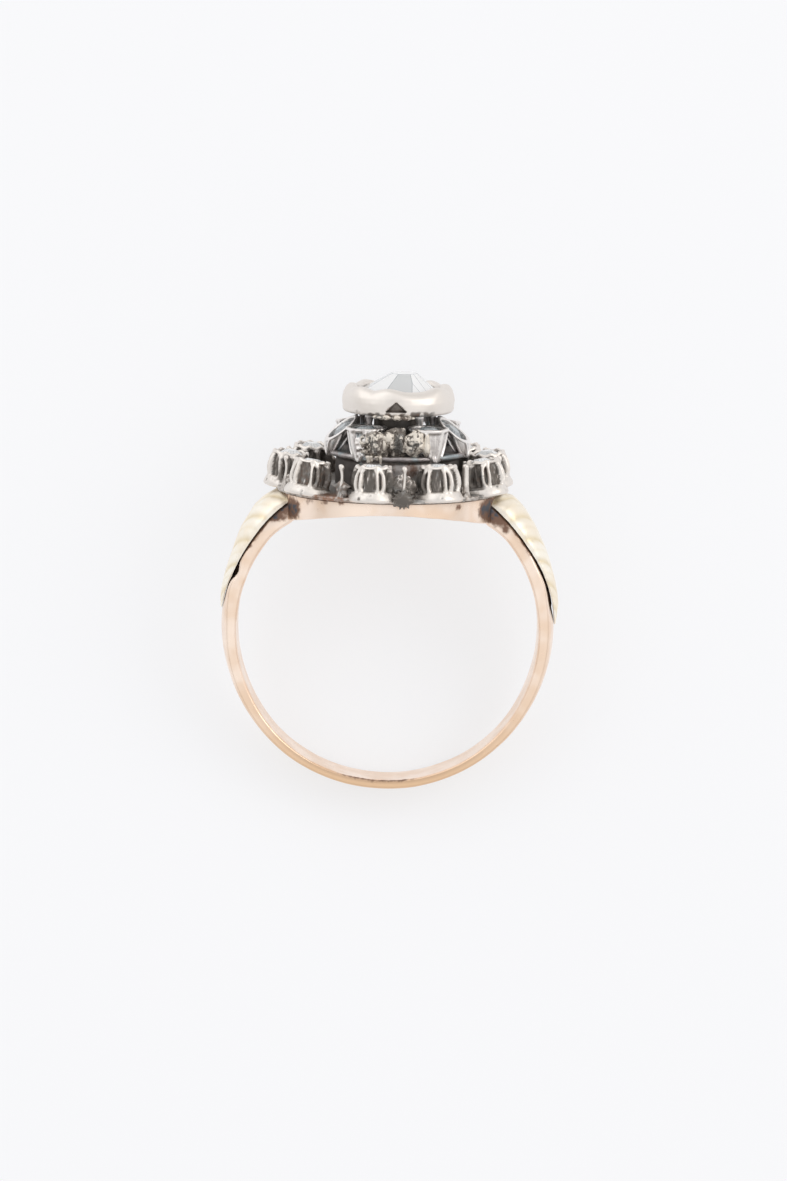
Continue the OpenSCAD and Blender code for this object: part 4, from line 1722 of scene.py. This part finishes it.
@dataclass
class Stones:
    """The cut stones of the three tiers."""

    lower: LowerTier
    middle: MiddleTier
    centre: CentreSetting
    small_table: float = 0.58
    small_crown: float = 0.32
    small_pavilion: float = 0.6
    below_rim: float = 0.3
    spin_step: float = 0.7
    centre_table_r: float = 0.72
    centre_table_z: float = 14.27
    centre_table_aside: float = 0.33
    centre_pavilion: float = 0.83
    centre_grey_edge: float = 0.022

    def small(self, radius: float) -> Cut:
        """Returns the cut of a small stone."""
        return Cut(radius, self.small_table * radius, self.small_crown, self.small_pavilion * radius)

    @staticmethod
    def set_stone(cut: Cut, name: str, place: Matrix, material: bpy.types.Material, seed: float) -> None:
        """Cuts a stone and sets it in its place.

        Args:
            cut: The stone's proportions.
            name: The stone's CAD node.
            place: Its place in the ring's own frame.
            material: Its material.
            seed: Which small unevenness of the cut it gets.
        """
        made = cut.stone(seed)
        made.transform(place)
        finish_piece(made, f"cut_{name}", material, name, crease=1)

    def build(self, material: bpy.types.Material) -> None:
        """Cuts and sets every stone.

        Args:
            material: The clean stones' material. The middle tier's are grimy.
        """
        tier, cups, centre = self.lower, self.middle, self.centre
        cut = self.small(tier.stone_r)
        seat = Matrix.Translation((0, 0, tier.collet_h - self.below_rim))
        for number, own in enumerate(tier.seats):
            place = around_head(own.turn, tier.out, tier.up, own.lean) @ seat
            place = place @ Matrix.Rotation(self.spin_step * number, 4, "Z")
            self.set_stone(cut, f"lower_stone_{number + 1}", place, material, number)
        cut = self.small(cups.stone_r)
        grimy = GRIMY_DIAMOND.material()
        seat = Matrix.Translation((0, 0, -self.below_rim))
        crown = Matrix.Translation((cups.shift, 0, 0))
        for number, own in enumerate(cups.cups):
            place = crown @ around_head(own.turn, own.out, own.up, own.lean) @ seat
            self.set_stone(cut, f"middle_stone_{number + 1}", place, grimy, 20 + number)
        tall = self.centre_table_z - centre.girdle - Cut.girdle / 2
        size = (centre.stone_r, self.centre_table_r, tall, self.centre_pavilion, self.centre_table_aside)
        place = crown @ Matrix.Translation((0, 0, centre.girdle))
        self.set_stone(Cut(*size, self.centre_grey_edge), "centre_stone", place, material, 50)


@dataclass(frozen=True)
class Softbox:
    """A square soft light that faces the ring, with its place and size in metres and its power in watts."""

    name: str
    place: Sequence[float]
    size: float
    power: float
    colour: str = "#FFFFFF"


@dataclass
class Studio:
    """The pale floor, in metres, the soft light, and the camera, in millimetres and degrees."""

    lamps: Sequence[Softbox] = (
        Softbox("head_softbox", (-0.24, 0.26, 0.2), 0.4, 0.3),
        Softbox("right_softbox", (0.3, 0.1, 0.25), 0.25, 0.32, "#FFFAF4"),
    )
    floor_half: float = 0.6
    distance: float = 285.0
    raised: float = 9.0
    roll: float = 1.0
    view_tall: float = 66.9
    aim_right: float = 0.3
    aim_up: float = 1.858
    sensor: float = 36.0
    low_sky: str = "#D6D4D2"
    high_sky: str = "#FFFFFF"
    top_sky: str = "#D8D8DA"
    sky_power: float = 1.02

    def floor(self) -> None:
        """Lays the floor under the ring."""
        made = bmesh.new()
        bmesh.ops.create_grid(made, x_segments=4, y_segments=4, size=self.floor_half)
        mesh = bpy.data.meshes.new("floor")
        made.to_mesh(mesh)
        made.free()
        mesh.materials.append(OPAL.material())
        floor = bpy.data.objects.new("floor", mesh)
        bpy.context.scene.collection.objects.link(floor)

    def sky(self) -> None:
        """Sets a light tent: a soft white surround, darker at the horizon and at its mouth overhead."""
        world = bpy.data.worlds.new("light_tent")
        world.use_nodes = True
        world.node_tree.nodes.clear()
        add = partial(add_node, world.node_tree)
        way = add(COORDINATES).outputs["Generated"]
        height = add("ShaderNodeSeparateXYZ", None, {0: way}).outputs[2]
        rise = add(RANGE, SMOOTH, {0: height, 1: 0.05, 2: 0.85})
        shade = add(MIX, RGB, {0: rise, 6: linear(self.low_sky), 7: linear(self.high_sky)})
        mouth = add(RANGE, SMOOTH, {0: height, 1: 0.84, 2: 0.97})
        tent = add(MIX, RGB, {0: mouth, 6: shade, 7: linear(self.top_sky)})
        light = add("ShaderNodeBackground", None, {"Color": tent, "Strength": self.sky_power})
        add("ShaderNodeOutputWorld", None, {"Surface": light})
        bpy.context.scene.world = world

    def light(self) -> None:
        """Hangs the softboxes."""
        for box in self.lamps:
            light = bpy.data.lights.new(box.name, "AREA")
            light.size = box.size
            light.energy = box.power
            light.color = linear(box.colour)[:3]
            lamp = bpy.data.objects.new(box.name, light)
            lamp.location = box.place
            lamp.rotation_mode = "QUATERNION"
            lamp.rotation_quaternion = (-Vector(box.place)).to_track_quat("-Z", "Y")
            bpy.context.scene.collection.objects.link(lamp)

    def camera(self) -> None:
        """Sets the camera at the photograph's angle to the ring's best side."""
        raised = math.radians(self.raised)
        back = Vector((0, -math.cos(raised), math.sin(raised)))
        up = Vector((0, math.sin(raised), math.cos(raised)))
        aim = Vector((1, 0, 0)) * self.aim_right + up * self.aim_up
        turned = RING.to_3x3().normalized()
        data = bpy.data.cameras.new("camera")
        data.sensor_width = self.sensor
        data.lens = self.sensor * self.distance / self.view_tall
        data.clip_start = 0.01
        data.clip_end = 10
        camera = bpy.data.objects.new("camera", data)
        up_row, back_row = turned @ up, turned @ back
        rolled = Matrix.Rotation(math.radians(self.roll), 3, back_row)
        axes = Matrix((rolled @ up_row.cross(back_row), rolled @ up_row, back_row)).transposed().to_4x4()
        camera.matrix_world = Matrix.Translation(RING @ (aim + back * self.distance)) @ axes
        bpy.context.scene.collection.objects.link(camera)
        bpy.context.scene.camera = camera

    def build(self) -> None:
        """Sets up the whole studio."""
        self.floor()
        self.sky()
        self.light()
        self.camera()
        bpy.context.scene.view_settings.view_transform = "Standard"


def main() -> None:
    """Builds the ring's pieces in order and sets up the studio."""
    logging.basicConfig(level=logging.INFO, format="%(message)s")
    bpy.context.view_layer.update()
    Studio().build()
    Shank().build()
    leaf_gold = YELLOW_GOLD.material()
    ShoulderLeaf("left_shoulder_leaf", -1, LEFT_LEAF, 5.0, 2.0).build(leaf_gold)
    ShoulderLeaf("right_shoulder_leaf", 1, RIGHT_LEAF, 6.0, 7.0).build(leaf_gold)
    silver = SILVER.material()
    lower = LowerTier()
    lower.build(silver)
    middle = MiddleTier()
    middle.build(OXIDISED.material())
    centre = CentreSetting()
    centre.build(silver)
    Stones(lower, middle, centre).build(DIAMOND.material())


if __name__ == "__main__":
    main()
